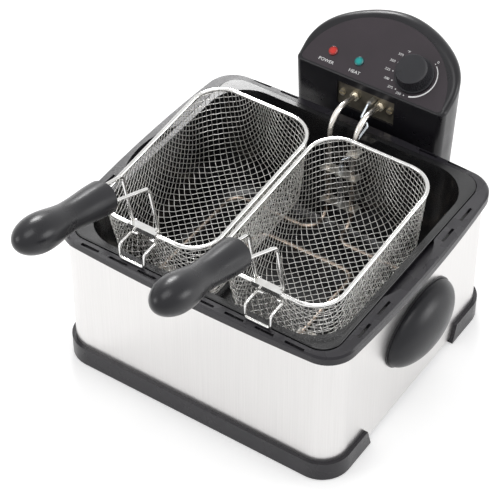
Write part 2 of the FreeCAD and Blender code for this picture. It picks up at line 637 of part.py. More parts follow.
def side_handles():
    """Two hollow domed grips, each on an oval plate and held by two screws from inside."""
    face = dim("body_width") / 2
    middle = Vector(face, dim("pod_shift"), dim("pod_level"))
    length = dim("pod_length")
    height = dim("pod_height")
    plate_half = (length / 2 + dim("pod_rim"), height / 2 + dim("pod_rim"))
    oval = Part.Ellipse(Vector(0, 0, 0), plate_half[0], plate_half[1])
    plate = Part.Face(Part.Wire([oval.toShape()])).extrude(Vector(0, 0, dim("pod_plate")))
    upright = Rotation(Vector(0, 1, 0), Vector(0, 0, 1), Vector(1, 0, 0), "XYZ")
    plate.Placement = Placement(middle, upright)
    wall = dim("pod_wall")
    base = middle + Vector(dim("pod_plate"), 0, 0)
    dome = half_dome(length, height, dim("pod_reach"))
    hollow = half_dome(length - 2 * wall, height - 2 * wall, dim("pod_reach") - wall)
    dome = dome.cut(hollow)
    dome.translate(base)
    half = dim("pod_screw_span") / 2
    depth = 12.0
    bosses = []
    holes = []
    screws = []
    for side in (-1, 1):
        at = middle + Vector(0, side * half, 0)
        bosses.append(Part.makeCylinder(dim("pod_boss"), depth, at + Vector(dim("pod_plate"), 0, 0),
                                        Vector(1, 0, 0)))
        holes.append(Part.makeCylinder(dim("screw_shank") + dim("thread_fit"), depth - 1,
                                       at + Vector(dim("pod_plate"), 0, 0), Vector(1, 0, 0)))
        plate = plate.cut(Part.makeCylinder(dim("handle_hole"), 9, at - Vector(1, 0, 0),
                                            Vector(1, 0, 0)))
        inside = at - Vector(dim("steel_wall"), 0, 0)
        screws.append(screw(tuple(inside), (1, 0, 0), dim("screw_head"), dim("screw_head_height"),
                            dim("screw_shank"), depth + dim("pod_plate") - 1))
    outer = half_dome(length, height, dim("pod_reach"))
    outer.translate(base)
    bosses = [boss.common(outer) for boss in bosses]
    dome = dome.multiFuse(bosses).cut(Part.makeCompound(holes)).removeSplitter()
    solid("right_side_handle", dome)
    solid("left_side_handle", mirrored(dome))
    solid("right_handle_plate", plate)
    solid("left_handle_plate", mirrored(plate))
    group("handle_screws", screws + [mirrored(item) for item in screws])


def dock_screw_places():
    """Where the dock's screws go through the steel."""
    face = dim("body_depth") / 2
    return [Vector(side * dim("dock_screw_x"), face, dim(cell))
            for side in (-1, 1) for cell in ("dock_screw_low", "dock_screw_high")]


def head_dock():
    """Dock on the steel's rear wall: two rails and a shelf that carry the control head."""
    face = dim("body_depth") / 2
    half = dim("dock_width") / 2
    front = face + dim("dock_plate")
    inside = dim("head_front") + dim("head_wall") + dim("rail_clear")
    top = dim("head_bottom") - dim("seat_gap")
    shelf = top - dim("ledge_height")
    reach = front + dim("ledge_reach")
    plate = box((-half, half), (face, front), (dim("dock_low"), dim("dock_high")))
    pieces = [box((-half, half), (front, reach), (shelf, top))]
    for side in (-1, 1):
        x = side * dim("rail_half")
        stem = dim("rail_stem") / 2
        hook = dim("rail_flange") / 2
        pieces.append(box((x - stem, x + stem), (front, inside), (shelf, dim("dock_high"))))
        pieces.append(box((x - hook, x + hook), (inside, inside + dim("rail_hook")),
                          (shelf, dim("dock_high"))))
        x = side * dim("rib_half") - dim("rib_thick") / 2
        foot = dim("dock_low") + dim("rib_margin")
        rib = Part.makePolygon([Vector(x, front, shelf), Vector(x, reach - dim("rib_margin"), shelf),
                                Vector(x, front, foot), Vector(x, front, shelf)])
        pieces.append(Part.Face(rib).extrude(Vector(dim("rib_thick"), 0, 0)))
    holes = [cylinder(dim("handle_hole"), at - Vector(0, 1, 0), at + Vector(0, dim("dock_plate") + 1, 0))
             for at in dock_screw_places()]
    shape = plate.multiFuse(pieces).cut(Part.makeCompound(holes))
    return solid("head_dock", shape.removeSplitter())


def dock_screws():
    """Screws through the dock's plate and the steel, heads at the rear."""
    length = dim("dock_plate") + dim("steel_wall") + dim("dock_screw_tail")
    return group("dock_screws", [
        screw(at + Vector(0, dim("dock_plate"), 0), (0, -1, 0), dim("screw_head"),
              dim("screw_head_height"), dim("screw_shank"), length)
        for at in dock_screw_places()])


# --- oil pot -------------------------------------------------------------------

def bottom_edges(shape, level):
    return [edge for edge in shape.Edges if edge.BoundBox.ZMax < level + 1e-3]


def oil_pot():
    """Lift-out pot: tapered walls, flat floor and a raised flange whose skirt sits on the bezel."""
    top = dim("flange_top")
    wall = dim("pot_wall")
    floor = dim("pot_floor")
    taper = 2 * dim("pot_taper")
    width = dim("pot_width")
    depth = dim("pot_depth")
    radius = dim("pot_radius")
    foot = radius - dim("pot_taper") / 2
    vessel = rounded_loft((width - taper, depth - taper, foot, floor - wall),
                          (width, depth, radius, top))
    vessel = vessel.makeFillet(dim("pot_foot"), bottom_edges(vessel, floor - wall))
    thin = 2 * wall
    hollow = rounded_loft((width - taper - thin, depth - taper - thin, foot - wall, floor),
                          (width - thin, depth - thin, radius - wall, top))
    hollow = hollow.makeFillet(dim("pot_foot") - wall, bottom_edges(hollow, floor))
    sheet_thick = dim("flange_sheet")
    flange = rounded_prism(dim("flange_width"), dim("flange_depth"), dim("flange_radius"),
                           top - dim("flange_skirt"), top)
    rim = [edge for edge in flange.Edges if edge.BoundBox.ZMin > top - 1e-3]
    flange = flange.makeFillet(dim("flange_edge"), rim)
    flange = flange.cut(rounded_prism(dim("flange_width") - 2 * sheet_thick,
                                      dim("flange_depth") - 2 * sheet_thick,
                                      dim("flange_radius") - sheet_thick,
                                      top - 2 * dim("flange_skirt"), top - sheet_thick))
    shape = vessel.fuse(flange).cut(hollow)
    return solid("oil_pot", shape.removeSplitter())


# --- control head --------------------------------------------------------------

def panel_turn():
    return Rotation(Vector(1, 0, 0), dim("panel_angle"))


def panel_point(x, rise, out=0.0):
    """Point on the sloping panel: across, up the slope from its front edge, and outward."""
    edge = Vector(0, dim("head_front"), dim("panel_base"))
    return edge + panel_turn().multVec(Vector(x, rise, out))


def panel_cylinder(radius, x, rise, low, high):
    """Round bar square to the panel."""
    start = panel_point(x, rise, low)
    return Part.makeCylinder(radius, high - low, start, panel_turn().multVec(Vector(0, 0, 1)))


def above_panel(offset):
    """Everything above a plane parallel to the panel, at an offset along its normal."""
    reach = 4 * dim("head_half")
    slab = Part.makeBox(2 * reach, 2 * reach, reach, Vector(-reach, -reach, 0))
    slab.Placement = Placement(panel_point(0, 0, offset), panel_turn())
    return slab


def head_wire(z, sides, front, rear):
    """The head's D-shaped outline at one height, drawn in by three insets."""
    shrink = (dim("panel_base") - z) * dim("head_draft")
    half = dim("head_half") - shrink - sides
    start = dim("head_front") + front
    middle = dim("head_front") + dim("head_straight")
    oval = Part.Ellipse(Vector(0, middle, z), half, dim("head_round") - shrink - rear)
    left = Vector(-half, middle, z)
    right = Vector(half, middle, z)
    return Part.Wire([
        Part.LineSegment(Vector(-half, start, z), Vector(half, start, z)).toShape(),
        Part.LineSegment(Vector(half, start, z), right).toShape(),
        *[Part.ArcOfEllipse(oval, eighth * math.pi / 4, (eighth + 1) * math.pi / 4).toShape()
          for eighth in range(4)],
        Part.LineSegment(left, Vector(-half, start, z)).toShape()])


def head_block(sides, front, rear, drop, low):
    """Solid block of the head, drawn in by three insets, its sloping top lowered by a drop."""
    high = dim("panel_base") + dim("head_half")
    block = Part.makeLoft([head_wire(low, sides, front, rear), head_wire(high, sides, front, rear)],
                          True, True)
    near = dim("head_front") + front + 1
    upright = [edge for edge in block.Edges
               if edge.BoundBox.ZLength > dim("head_half") and edge.BoundBox.YMax < near]
    block = block.makeFillet(dim("head_corner") - min(sides, dim("head_corner") - 1), upright)
    return block.cut(above_panel(-drop))


def head_core(inset):
    """The head drawn in evenly on every side but its underside, which it keeps or lifts too."""
    return head_block(inset, inset, inset, inset, dim("head_bottom") + inset)


def panel_layer(gap):
    """Sheet set into the sloping top, drawn in by a gap: straight in front, oval behind."""
    half = dim("panel_half") - gap
    rise = dim("panel_rise") - gap
    thick = dim("panel_thick")
    oval = Part.Face(Part.Wire(Part.Ellipse(Vector(0, 0, 0), half, rise).toShape()))
    layer = oval.extrude(Vector(0, 0, thick)).common(
        box((-half - 1, half + 1), (gap, rise + 1), (-thick, 2 * thick)))
    corners = [edge for edge in layer.Edges
               if edge.BoundBox.ZLength > thick / 2 and edge.BoundBox.YMax < gap + 1e-3]
    layer = layer.makeFillet(dim("panel_corner") - gap, corners)
    layer.Placement = Placement(panel_point(0, dim("panel_front"), -thick), panel_turn())
    return layer


def rounded_head(inset):
    """The head drawn in by an inset, its top edge crisp in front and rounder round the back."""
    blank = doc.addObject("Part::Feature", "head_blank")
    blank.Shape = head_core(inset)
    normal = panel_turn().multVec(Vector(0, 0, 1))
    top = [item for item in blank.Shape.Faces if item.normalAt(0, 0).getAngle(normal) < 0.01][0]
    near = dim("head_front") + 0.5 * dim("head_corner")
    side = dim("head_front") + dim("head_straight") + 0.5 * dim("head_round")
    shoulder = side + 0.4 * dim("head_round")
    radii = ((near, dim("edge_front")), (side, dim("edge_side")),
             (shoulder, dim("edge_shoulder")), (math.inf, dim("edge_rear")))
    centre = Vector(0, dim("head_front") + dim("head_straight"), 0)
    edges = []
    heading = 0
    for index, edge in enumerate(blank.Shape.Edges, start=1):
        if any(edge.isSame(other) for other in top.Edges):
            start = edge.firstVertex()
            end = edge.lastVertex()
            turn = (start.Point - centre).cross(end.Point - centre).z
            heading = heading or turn
            ends = [max(next(radius for limit, radius in radii if vertex.Y < limit) - inset,
                        dim("edge_inside"))
                    for vertex in ((start, end) if turn * heading > 0 else (end, start))]
            edges.append((index, ends[0], ends[1]))
    rounded = doc.addObject("Part::Fillet", "head_rounding")
    rounded.Base = blank
    rounded.Edges = edges
    doc.recompute()
    return rounded.Shape


def front_region():
    """The space that belongs to the front shell: the front wall and all under the slope."""
    reach = 4 * dim("head_half")
    setback = dim("head_front") + dim("seam_setback")
    low = dim("head_bottom") - reach
    front = box((-reach, reach), (dim("head_front") - reach, setback), (low, low + 3 * reach))
    joined = front.fuse(above_panel(-dim("seam_drop"))).removeSplitter()
    corner = [edge for edge in joined.Edges
              if edge.BoundBox.XLength > reach and abs(edge.BoundBox.YMax - setback) < 1e-3
              and dim("head_bottom") < edge.BoundBox.ZMax < dim("panel_base") + dim("seam_setback")]
    return joined.makeFillet(dim("seam_bend"), corner)


def panel_holes():
    """Holes through the panel and the shell under it, for the lamps and the knob's shaft."""
    deep = 3 * dim("head_wall")
    places = [(dim("lamp_body") + dim("hole_clear"), dim("power_lamp_x"), dim("lamp_rise")),
              (dim("lamp_body") + dim("hole_clear"), dim("heat_lamp_x"), dim("lamp_rise")),
              (dim("shaft_radius") + dim("slide_gap"), dim("knob_x"), dim("knob_rise"))]
    return [panel_cylinder(radius, x, rise, -deep, deep) for radius, x, rise in places]


def plate_screw_places():
    """The two screws of the element's bracket, left and right in the window."""
    z = dim("window_level") + dim("plate_screw_rise")
    half = dim("plate_screw_span") / 2
    return [(dim("window_x") - half, z), (dim("window_x") + half, z)]


def rail_slots():
    """Slots, open at the bottom, that let the head slide down over the dock's rails."""
    cuts = []
    clear = dim("rail_clear")
    face = dim("head_front")
    behind = face + dim("head_wall")
    top = dim("dock_high") + clear
    floor = dim("head_bottom") + dim("head_wall") + 1
    for side in (-1, 1):
        x = side * dim("rail_half")
        stem = dim("rail_stem") / 2 + clear
        hook = dim("rail_flange") / 2 + clear
        cuts.append(box((x - stem, x + stem), (face - 1, behind + 1), (dim("head_bottom") - 1, top)))
        cuts.append(box((x - hook, x + hook), (behind, behind + dim("rail_hook") + 2 * clear),
                        (dim("head_bottom") - 1, floor)))
    return cuts


def cover_screw_places():
    """The four screws that draw the rear cover against the front shell."""
    return [(side * dim("cover_screw_x"), z)
            for side in (-1, 1) for z in (dim("cover_screw_low"), dim("cover_screw_high"))]


def head_shells():
    """The head's two mouldings: front wall with the sloping top, and the rear cover."""
    wall = dim("head_wall")
    face = dim("head_front")
    shell = rounded_head(0.0).cut(rounded_head(wall)).cut(panel_layer(0.0))
    region = front_region()
    inside = head_core(wall / 2)
    meet = face + dim("cover_screw_seat") - dim("cover_boss_wall")
    far = face + dim("head_straight") + dim("head_round")
    front_bosses = []
    front_holes = []
    rear_bosses = []
    rear_holes = []
    for x, z in cover_screw_places():
        front_bosses.append(cylinder(dim("cover_boss"), (x, face + wall / 2, z), (x, meet, z)))
        front_holes.append(cylinder(dim("screw_shank") + dim("thread_fit"),
                                    (x, face + wall + 1, z), (x, meet + 1, z)))
        rear_bosses.append(cylinder(dim("cover_boss"), (x, meet + dim("panel_gap"), z), (x, far, z)))
        rear_holes.append(cylinder(dim("handle_hole"), (x, meet - 1, z), (x, far, z)))
        rear_holes.append(cylinder(dim("screw_head") + dim("hole_clear"),
                                   (x, meet + dim("cover_boss_wall"), z), (x, far + 1, z)))
    front_bosses = [boss.common(inside) for boss in front_bosses]
    rear_bosses = [boss.common(inside) for boss in rear_bosses]
    wide = dim("window_width") / 2
    tall = dim("window_height") / 2
    middle = dim("window_x")
    level = dim("window_level")
    window = box((middle - wide, middle + wide), (face - 1, face + wall + 1),
                 (level - tall, level + tall))
    cuts = [window] + panel_holes() + rail_slots() + front_holes
    front = shell.common(region).multiFuse(front_bosses).cut(Part.makeCompound(cuts))
    wide = dim("socket_width") / 2
    tall = dim("socket_height") / 2
    middle = dim("socket_x")
    level = dim("socket_level")
    cuts = rear_holes + [
        box((middle - wide, middle + wide), (far - dim("head_round"), far + 1),
            (level - tall, level + tall)),
        cylinder(dim("reset_radius") + dim("slide_gap"),
                 (dim("reset_x"), far - dim("head_round"), dim("reset_level")),
                 (dim("reset_x"), far + 1, dim("reset_level")))]
    rear = shell.cut(region).multiFuse(rear_bosses).cut(Part.makeCompound(cuts))
    solid("head_front_shell", front.removeSplitter())
    solid("head_rear_cover", rear.removeSplitter())


def cover_screws():
    """Screws of the rear cover, sunk in its four tubes."""
    seat = dim("head_front") + dim("cover_screw_seat")
    return group("cover_screws", [
        screw((x, seat, z), (0, -1, 0), dim("screw_head"), dim("screw_head_height"),
              dim("screw_shank"), dim("cover_screw_length"))
        for x, z in cover_screw_places()])


def control_panel():
    """Thin printed overlay in its seat on the slope."""
    layer = panel_layer(dim("panel_gap"))
    return solid("control_panel", layer.cut(Part.makeCompound(panel_holes())))


def lamp(label, x):
    """Pilot lamp: domed lens with a collar on the panel and its body behind."""
    rise = dim("lamp_rise")
    lens = panel_cylinder(dim("lamp_radius"), x, rise, 0, dim("lamp_height"))
    top = max((edge for edge in lens.Edges if edge.Closed), key=lambda edge: edge.CenterOfMass.z)
    lens = lens.makeFillet(dim("lamp_height") * 0.6, [top])
    barrel = panel_cylinder(dim("lamp_body"), x, rise, -dim("lamp_depth"), 0)
    return solid(label, lens.fuse(barrel).removeSplitter())


def thermostat_knob():
    """Turned knob: skirt, tapered side, flat top, and a blind bore for the shaft."""
    made = body("thermostat_knob")
    profile = sketch(made, "knob_profile", role="XZ_Plane")
    radius = dim("knob_radius")
    height = dim("knob_height")
    skirt = dim("knob_skirt")
    bore = dim("knob_bore")
    deep = dim("knob_bore_depth")
    points = [(bore, 0), (radius, 0), (radius, skirt), (radius - dim("knob_step"), skirt),
              (dim("knob_top_radius"), height), (0, height), (0, deep), (bore, deep)]
    for here, there in zip(points, points[1:] + points[:1]):
        profile.addGeometry(Part.LineSegment(Vector(*here, 0), Vector(*there, 0)), False)
    for index in range(len(points)):
        profile.addConstraint(Sketcher.Constraint("Coincident", index, 2,
                                                  (index + 1) % len(points), 1))
    for index in (0, 2, 4, 6):
        profile.addConstraint(Sketcher.Constraint("Horizontal", index))
    for index in (1, 5, 7):
        profile.addConstraint(Sketcher.Constraint("Vertical", index))
    profile.addConstraint(Sketcher.Constraint("PointOnObject", 4, 2, -2))
    profile.addConstraint(Sketcher.Constraint("PointOnObject", 0, 1, -1))
    constrain(profile, "DistanceX", -1, 1, 0, 1, cell="dims.knob_bore", value=bore)
    constrain(profile, "DistanceX", -1, 1, 0, 2, cell="dims.knob_radius", value=radius)
    constrain(profile, "DistanceY", 1, 1, 1, 2, cell="dims.knob_skirt", value=skirt)
    constrain(profile, "DistanceX", 2, 2, 2, 1, cell="dims.knob_step", value=dim("knob_step"))
    constrain(profile, "DistanceX", 4, 2, 4, 1, cell="dims.knob_top_radius",
              value=dim("knob_top_radius"))
    constrain(profile, "DistanceY", -1, 1, 4, 1, cell="dims.knob_height", value=height)
    constrain(profile, "DistanceY", -1, 1, 6, 1, cell="dims.knob_bore_depth", value=deep)
    turned = made.newObject("PartDesign::Revolution", "knob_turned")
    turned.Profile = profile
    turned.ReferenceAxis = (profile, ["V_Axis"])
    turned.Angle = 360.0
    made.Placement = Placement(panel_point(dim("knob_x"), dim("knob_rise"), dim("knob_gap")),
                               panel_turn())
    return made


def thermostat_shaft():
    """Round spindle from the thermostat up into the knob."""
    high = dim("knob_gap") + dim("knob_bore_depth") - dim("seat_gap")
    return solid("thermostat_shaft", panel_cylinder(dim("shaft_radius"), dim("knob_x"),
                                                    dim("knob_rise"), -dim("shaft_sink"), high))


def thermostat_body():
    """Capillary thermostat under the panel, on a square mounting plate."""
    x = dim("knob_x")
    rise = dim("knob_rise")
    half = dim("thermostat_plate_half")
    top = -dim("head_wall")
    low = top - dim("thermostat_plate")
    plate = Part.makeBox(2 * half, 2 * half, dim("thermostat_plate"), Vector(x - half, rise - half, low))
    plate.Placement = Placement(panel_point(0, 0), panel_turn())
    can = panel_cylinder(dim("thermostat_radius"), x, rise, low - dim("thermostat_depth"), low)
    bore = panel_cylinder(dim("shaft_radius") + dim("shaft_fit"), x, rise,
                          -dim("shaft_sink") - dim("seat_gap"), 1)
    return solid("thermostat_body", plate.fuse(can).cut(bore).removeSplitter())


# --- heating element and its bracket ---------------------------------------------

def tube_level(y):
    """Height of the element's tube at a given y on its straight run through the bracket."""
    start = dim("head_front") + dim("head_wall")
    return dim("element_exit") - (y - start) * math.tan(math.radians(dim("element_rise")))


def tube_axis():
    """Direction of that run, forwards and up."""
    slope = math.radians(dim("element_rise"))
    return Vector(0, -math.cos(slope), math.sin(slope))


def element_bracket():
    """Plate behind the front wall's window that carries the element, with two bosses."""
    wide = dim("window_width") / 2 + dim("plate_margin")
    tall = dim("window_height") / 2 + dim("plate_margin")
    x = dim("window_x")
    z = dim("window_level")
    face = dim("head_front") + dim("head_wall")
    back = face + dim("plate_thick")
    end = back + dim("plate_boss_length")
    plate = box((x - wide, x + wide), (face, back), (z - tall, z + tall))
    bosses = [cylinder(dim("plate_boss"), (sx, back, sz), (sx, end, sz))
              for sx, sz in plate_screw_places()]
    cuts = [cylinder(dim("screw_shank") + dim("thread_fit"), (sx, face - 1, sz), (sx, end + 1, sz))
            for sx, sz in plate_screw_places()]
    for side in (-1, 1):
        at = Vector(side * dim("element_half"), face, tube_level(face))
        cuts.append(Part.makeCylinder(dim("tube_radius") + dim("thread_fit"), 20,
                                      at - tube_axis() * 10, tube_axis()))
    at = Vector(dim("capillary_x"), face, dim("capillary_level"))
    cuts.append(Part.makeCylinder(dim("capillary_radius") + dim("thread_fit"), 20,
                                  at - tube_axis() * 10, tube_axis()))
    shape = plate.multiFuse(bosses).cut(Part.makeCompound(cuts))
    return solid("element_bracket", shape.removeSplitter())


def bracket_screws():
    face = dim("head_front") + dim("head_wall")
    length = dim("plate_thick") + dim("plate_boss_length") - 1
    return group("bracket_screws", [
        screw((x, face, z), (0, 1, 0), dim("plate_screw_head"), dim("plate_screw_head_height"),
              dim("screw_shank"), length)
        for x, z in plate_screw_places()])


def element_nuts():
    """Two hexagon nuts that clamp the tube's ends to the bracket."""
    face = dim("head_front") + dim("head_wall")
    sunk = dim("nut_radius")
    nuts = []
    for side in (-1, 1):
        at = Vector(side * dim("element_half"), face, tube_level(face))
        corners = [Vector(dim("nut_radius") * math.cos(math.radians(60 * k)),
                          dim("nut_radius") * math.sin(math.radians(60 * k)), -sunk)
                   for k in range(7)]
        nut = Part.Face(Part.makePolygon(corners)).extrude(Vector(0, 0, dim("nut_height") + sunk))
        nut.Placement = Placement(at, Rotation(Vector(0, 0, 1), tube_axis()))
        around = 4 * dim("nut_radius")
        behind = box((at.x - around, at.x + around), (face, face + around),
                     (at.z - around, at.z + around))
        bore = Part.makeCylinder(dim("tube_radius") + dim("thread_fit"), 2 * around,
                                 at - tube_axis() * around, tube_axis())
        nuts.append(nut.cut(behind).cut(bore))
    return group("element_nuts", nuts)


def heating_element():
    """Sheathed tube: two risers over the pot's rim and one flat coil above its floor."""
    half = dim("element_half")
    level = dim("element_level")
    start = dim("head_front") + dim("head_wall") + dim("tube_tail")
    rise = dim("riser_place")
    back = dim("coil_back")
    front = dim("coil_front")
    wide = dim("coil_half")
    inner = dim("coil_inner")
    right = [(half, start, tube_level(start)), (half, rise, tube_level(rise)), (half, rise, level),
             (half, back, level), (wide, back, level), (wide, front, level),
             (inner, front, level), (inner, dim("coil_turn"), level)]
    left = [(-x, y, z) for x, y, z in reversed(right)]
    bends = [dim("coil_bend")] * (2 * len(right) - 2)
    bends[0] = bends[-1] = dim("riser_bend")
    return solid("heating_element", rod(right + left, bends, dim("tube_radius")))


def element_stays():
    """Two flat straps under the coil that tie its long runs together."""
    top = dim("element_level") - dim("tube_radius") - dim("seat_gap")
    low = top - dim("stay_thick")
    y = dim("stay_place")
    half = dim("stay_width") / 2
    over = dim("stay_overhang")
    strap = box((dim("coil_inner") - over, dim("coil_half") + over), (y - half, y + half), (low, top))
    return group("element_stays", [strap, mirrored(strap)])


def sensor():
    """Capillary with its gland, the bulb between the risers, and their clips."""
    face = dim("head_front") + dim("head_wall")
    radius = dim("capillary_radius")
    rise = dim("riser_place")
    half = dim("element_half")
    behind = rise + dim("tube_radius") + radius + dim("hole_clear")
    fall = dim("capillary_fall")
    top = dim("bulb_top")
    axis = tube_axis()
    at = Vector(dim("capillary_x"), face, dim("capillary_level"))
    level = at.z
    out = dim("capillary_out")
    dip = dim("capillary_dip")
    path = [at - axis * dim("tube_tail") / 2, at + axis * 1.2 * dim("gland_length"),
            (at.x + 2, face - out, level - dip), (half + 5, face - out - 2.5, level - dip - 2.5),
            (half, behind, level - dip - dim("capillary_drop")), (half, behind, fall), (0, rise, top + 8), (0, rise, top)]
    solid("capillary", rod(path, dim("capillary_bend"), radius))
    gland = Part.makeCylinder(dim("gland_radius"), dim("gland_length") + 4, at - axis * 4, axis)
    bore = Part.makeCylinder(radius + dim("thread_fit"), dim("gland_length") + 8, at - axis * 6, axis)
    behind_face = box((at.x - 20, at.x + 20), (face, face + 20), (at.z - 20, at.z + 20))
    solid("capillary_gland", gland.cut(behind_face).cut(bore))
    low = top - dim("bulb_length")
    solid("sensor_bulb", cylinder(dim("bulb_radius"), (0, rise, low), (0, rise, top)))
    thick = dim("clip_thick")
    margin = dim("clip_margin") + dim("tube_radius")
    middle = (top + low) / 2
    clips = []
    for level in (middle - dim("clip_spread") / 2, middle + dim("clip_spread") / 2):
        clip = box((-half - margin, half + margin), (rise - margin, rise + margin),
                   (level, level + thick))
        holes = [cylinder(dim("tube_radius") + dim("thread_fit"), (sx * half, rise, level - 1),
                          (sx * half, rise, level + thick + 1)) for sx in (-1, 1)]
        holes.append(cylinder(dim("bulb_radius") + dim("thread_fit"), (0, rise, level - 1),
                              (0, rise, level + thick + 1)))
        clips.append(clip.cut(Part.makeCompound(holes)))
    group("bulb_clips", clips)
    low = fall + dim("capillary_bend")
    strap = box((half - margin, half + margin), (rise - margin, behind + radius + dim("clip_margin") / 2),
                (low, low + thick))
    holes = [cylinder(dim("tube_radius") + dim("thread_fit"), (half, rise, low - 1),
                      (half, rise, low + thick + 1)),
             cylinder(radius + dim("thread_fit"), (half, behind, low - 1),
                      (half, behind, low + thick + 1))]
    solid("capillary_clip", strap.cut(Part.makeCompound(holes)))


# --- mains side of the head -------------------------------------------------------

def cover_face(x, z):
    """Where the rear cover's outer face lies at a given x and height."""
    shrink = (dim("panel_base") - z) * dim("head_draft")
    share = x / (dim("head_half") - shrink)
    middle = dim("head_front") + dim("head_straight")
    return middle + (dim("head_round") - shrink) * math.sqrt(1 - share ** 2)


def cord_socket():
    """Breakaway socket flush with the rear cover, its pins in an open well."""
    x = dim("socket_x")
    z = dim("socket_level")
    face = cover_face(x, z)
    back = face - dim("socket_depth")
    wide = dim("socket_width") / 2 - dim("panel_gap")
    tall = dim("socket_height") / 2 - dim("panel_gap")
    reach = dim("head_round")
    case = box((x - wide, x + wide), (back, face + reach), (z - tall, z + tall))
    case = case.common(head_core(0.0))
    wide -= dim("socket_rim")
    tall -= dim("socket_rim")
    floor = face - dim("socket_well")
    well = box((x - wide, x + wide), (floor, face + reach), (z - tall, z + tall))
    pins = []
    bores = []
    for side in (-1, 1):
        px = x + side * dim("pin_span") / 2
        pins.append(cylinder(dim("pin_radius"), (px, back - dim("pin_tail"), z),
                             (px, floor + dim("pin_out"), z)))
        bores.append(cylinder(dim("pin_radius") + dim("thread_fit"), (px, back - 1, z),
                              (px, floor + 1, z)))
    solid("cord_socket", case.cut(Part.makeCompound([well] + bores)))
    group("socket_pins", pins)


def reset_button():
    """Small push button through the rear cover, and the limit switch that it resets."""
    x = dim("reset_x")
    z = dim("reset_level")
    face = cover_face(x, z)
    inner = face + dim("reset_proud") - dim("reset_length")
    solid("reset_button", cylinder(dim("reset_radius"), (x, inner, z),
                                   (x, face + dim("reset_proud"), z)))
    back = face - dim("switch_depth")
    case = cylinder(dim("switch_radius"), (x, back, z), (x, face + dim("head_wall"), z))
    case = case.common(head_core(dim("head_wall") + dim("panel_gap")))
    bore = cylinder(dim("reset_radius") + dim("slide_gap"),
                    (x, inner - dim("reset_travel") - dim("slide_gap"), z), (x, face + 1, z))
    solid("limit_switch", case.cut(bore))


def terminal_block():
    """Terminal block on the head's floor."""
    half = dim("block_width") / 2
    floor = dim("head_bottom") + dim("head_wall")
    start = dim("head_front") + dim("block_place")
    return solid("terminal_block", box((-half, half), (start, start + dim("block_depth")),
                                       (floor, floor + dim("block_height"))))


# --- baskets -------------------------------------------------------------------

def basket_place(side):
    """Placement of one basket: its rim's middle, leaning down to the front."""
    x = dim("basket_x") if side == "right" else -dim("basket_x")
    return Placement(Vector(x, dim("basket_y"), dim("basket_level")),
                     Rotation(Vector(1, 0, 0), dim("basket_pitch")))


def in_basket(name, side, shape, shift=0.0):
    """Sub-part drawn about the middle of the rim and put into its basket's place."""
    obj = solid(side + "_" + name, shape)
    obj.Placement = basket_place(side).multiply(Placement(Vector(shift, 0, 0), Rotation()))
    return obj


def basket_rim(side):
    """Round wire ring that the mesh hangs from."""
    path = rounded_wire(2 * dim("basket_half"), 2 * dim("basket_long"), dim("basket_corner"), 0)
    first = path.OrderedEdges[0]
    profile = Part.Wire([Part.makeCircle(dim("rim_radius"), first.valueAt(first.FirstParameter),
                                         first.tangentAt(first.FirstParameter))])
    return in_basket("basket_rim", side, path.makePipeShell([profile], True, False))


def mesh_tub(grow, level):
    """Tapered tub under the rim, its walls moved outwards by some amount."""
    top = -dim("rim_radius") - dim("mesh_hang")
    taper = dim("mesh_taper")
    width = 2 * (dim("basket_half") + grow)
    depth = 2 * (dim("basket_long") + grow)
    radius = dim("basket_corner") + grow
    shape = rounded_loft((width - 2 * taper, depth - 2 * taper, radius - taper / 2, level),
                         (width, depth, radius, top))
    return shape.makeFillet(dim("mesh_foot") + grow, bottom_edges(shape, level))


def basket_mesh(side):
    """Wire-cloth tub, open at the top, its edge just under the rim's wire."""
    half = dim("mesh_wall") / 2
    low = -dim("mesh_depth")
    return in_basket("basket_mesh", side,
                     mesh_tub(half, low - half).cut(mesh_tub(-half, low + half)))


def basket_hook(side):
    """Wire bail on the front wall that stands on the bezel while the basket drains."""
    wall = basket_place(side).multVec(Vector(0, -dim("basket_long") - dim("mesh_wall") / 2,
                                             -dim("rim_radius") - dim("saddle_drop")))
    radius = dim("hook_radius")
    y = wall.y - radius - dim("seat_gap")
    z = dim("hook_level")
    low = dim("bezel_top") + radius + dim("seat_gap")
    half = dim("hook_half")
    foot = half - dim("hook_foot")
    far = dim("hook_place")
    middle = wall.x + dim(side + "_hook_shift")
    points = [(-foot, y, z), (-half, y, z), (-half, far, z), (-half, far, low),
              (half, far, low), (half, far, z), (half, y, z), (foot, y, z)]
    path = [(middle + px, py, pz) for px, py, pz in points]
    return solid(side + "_basket_hook", rod(path, dim("hook_bend"), radius))


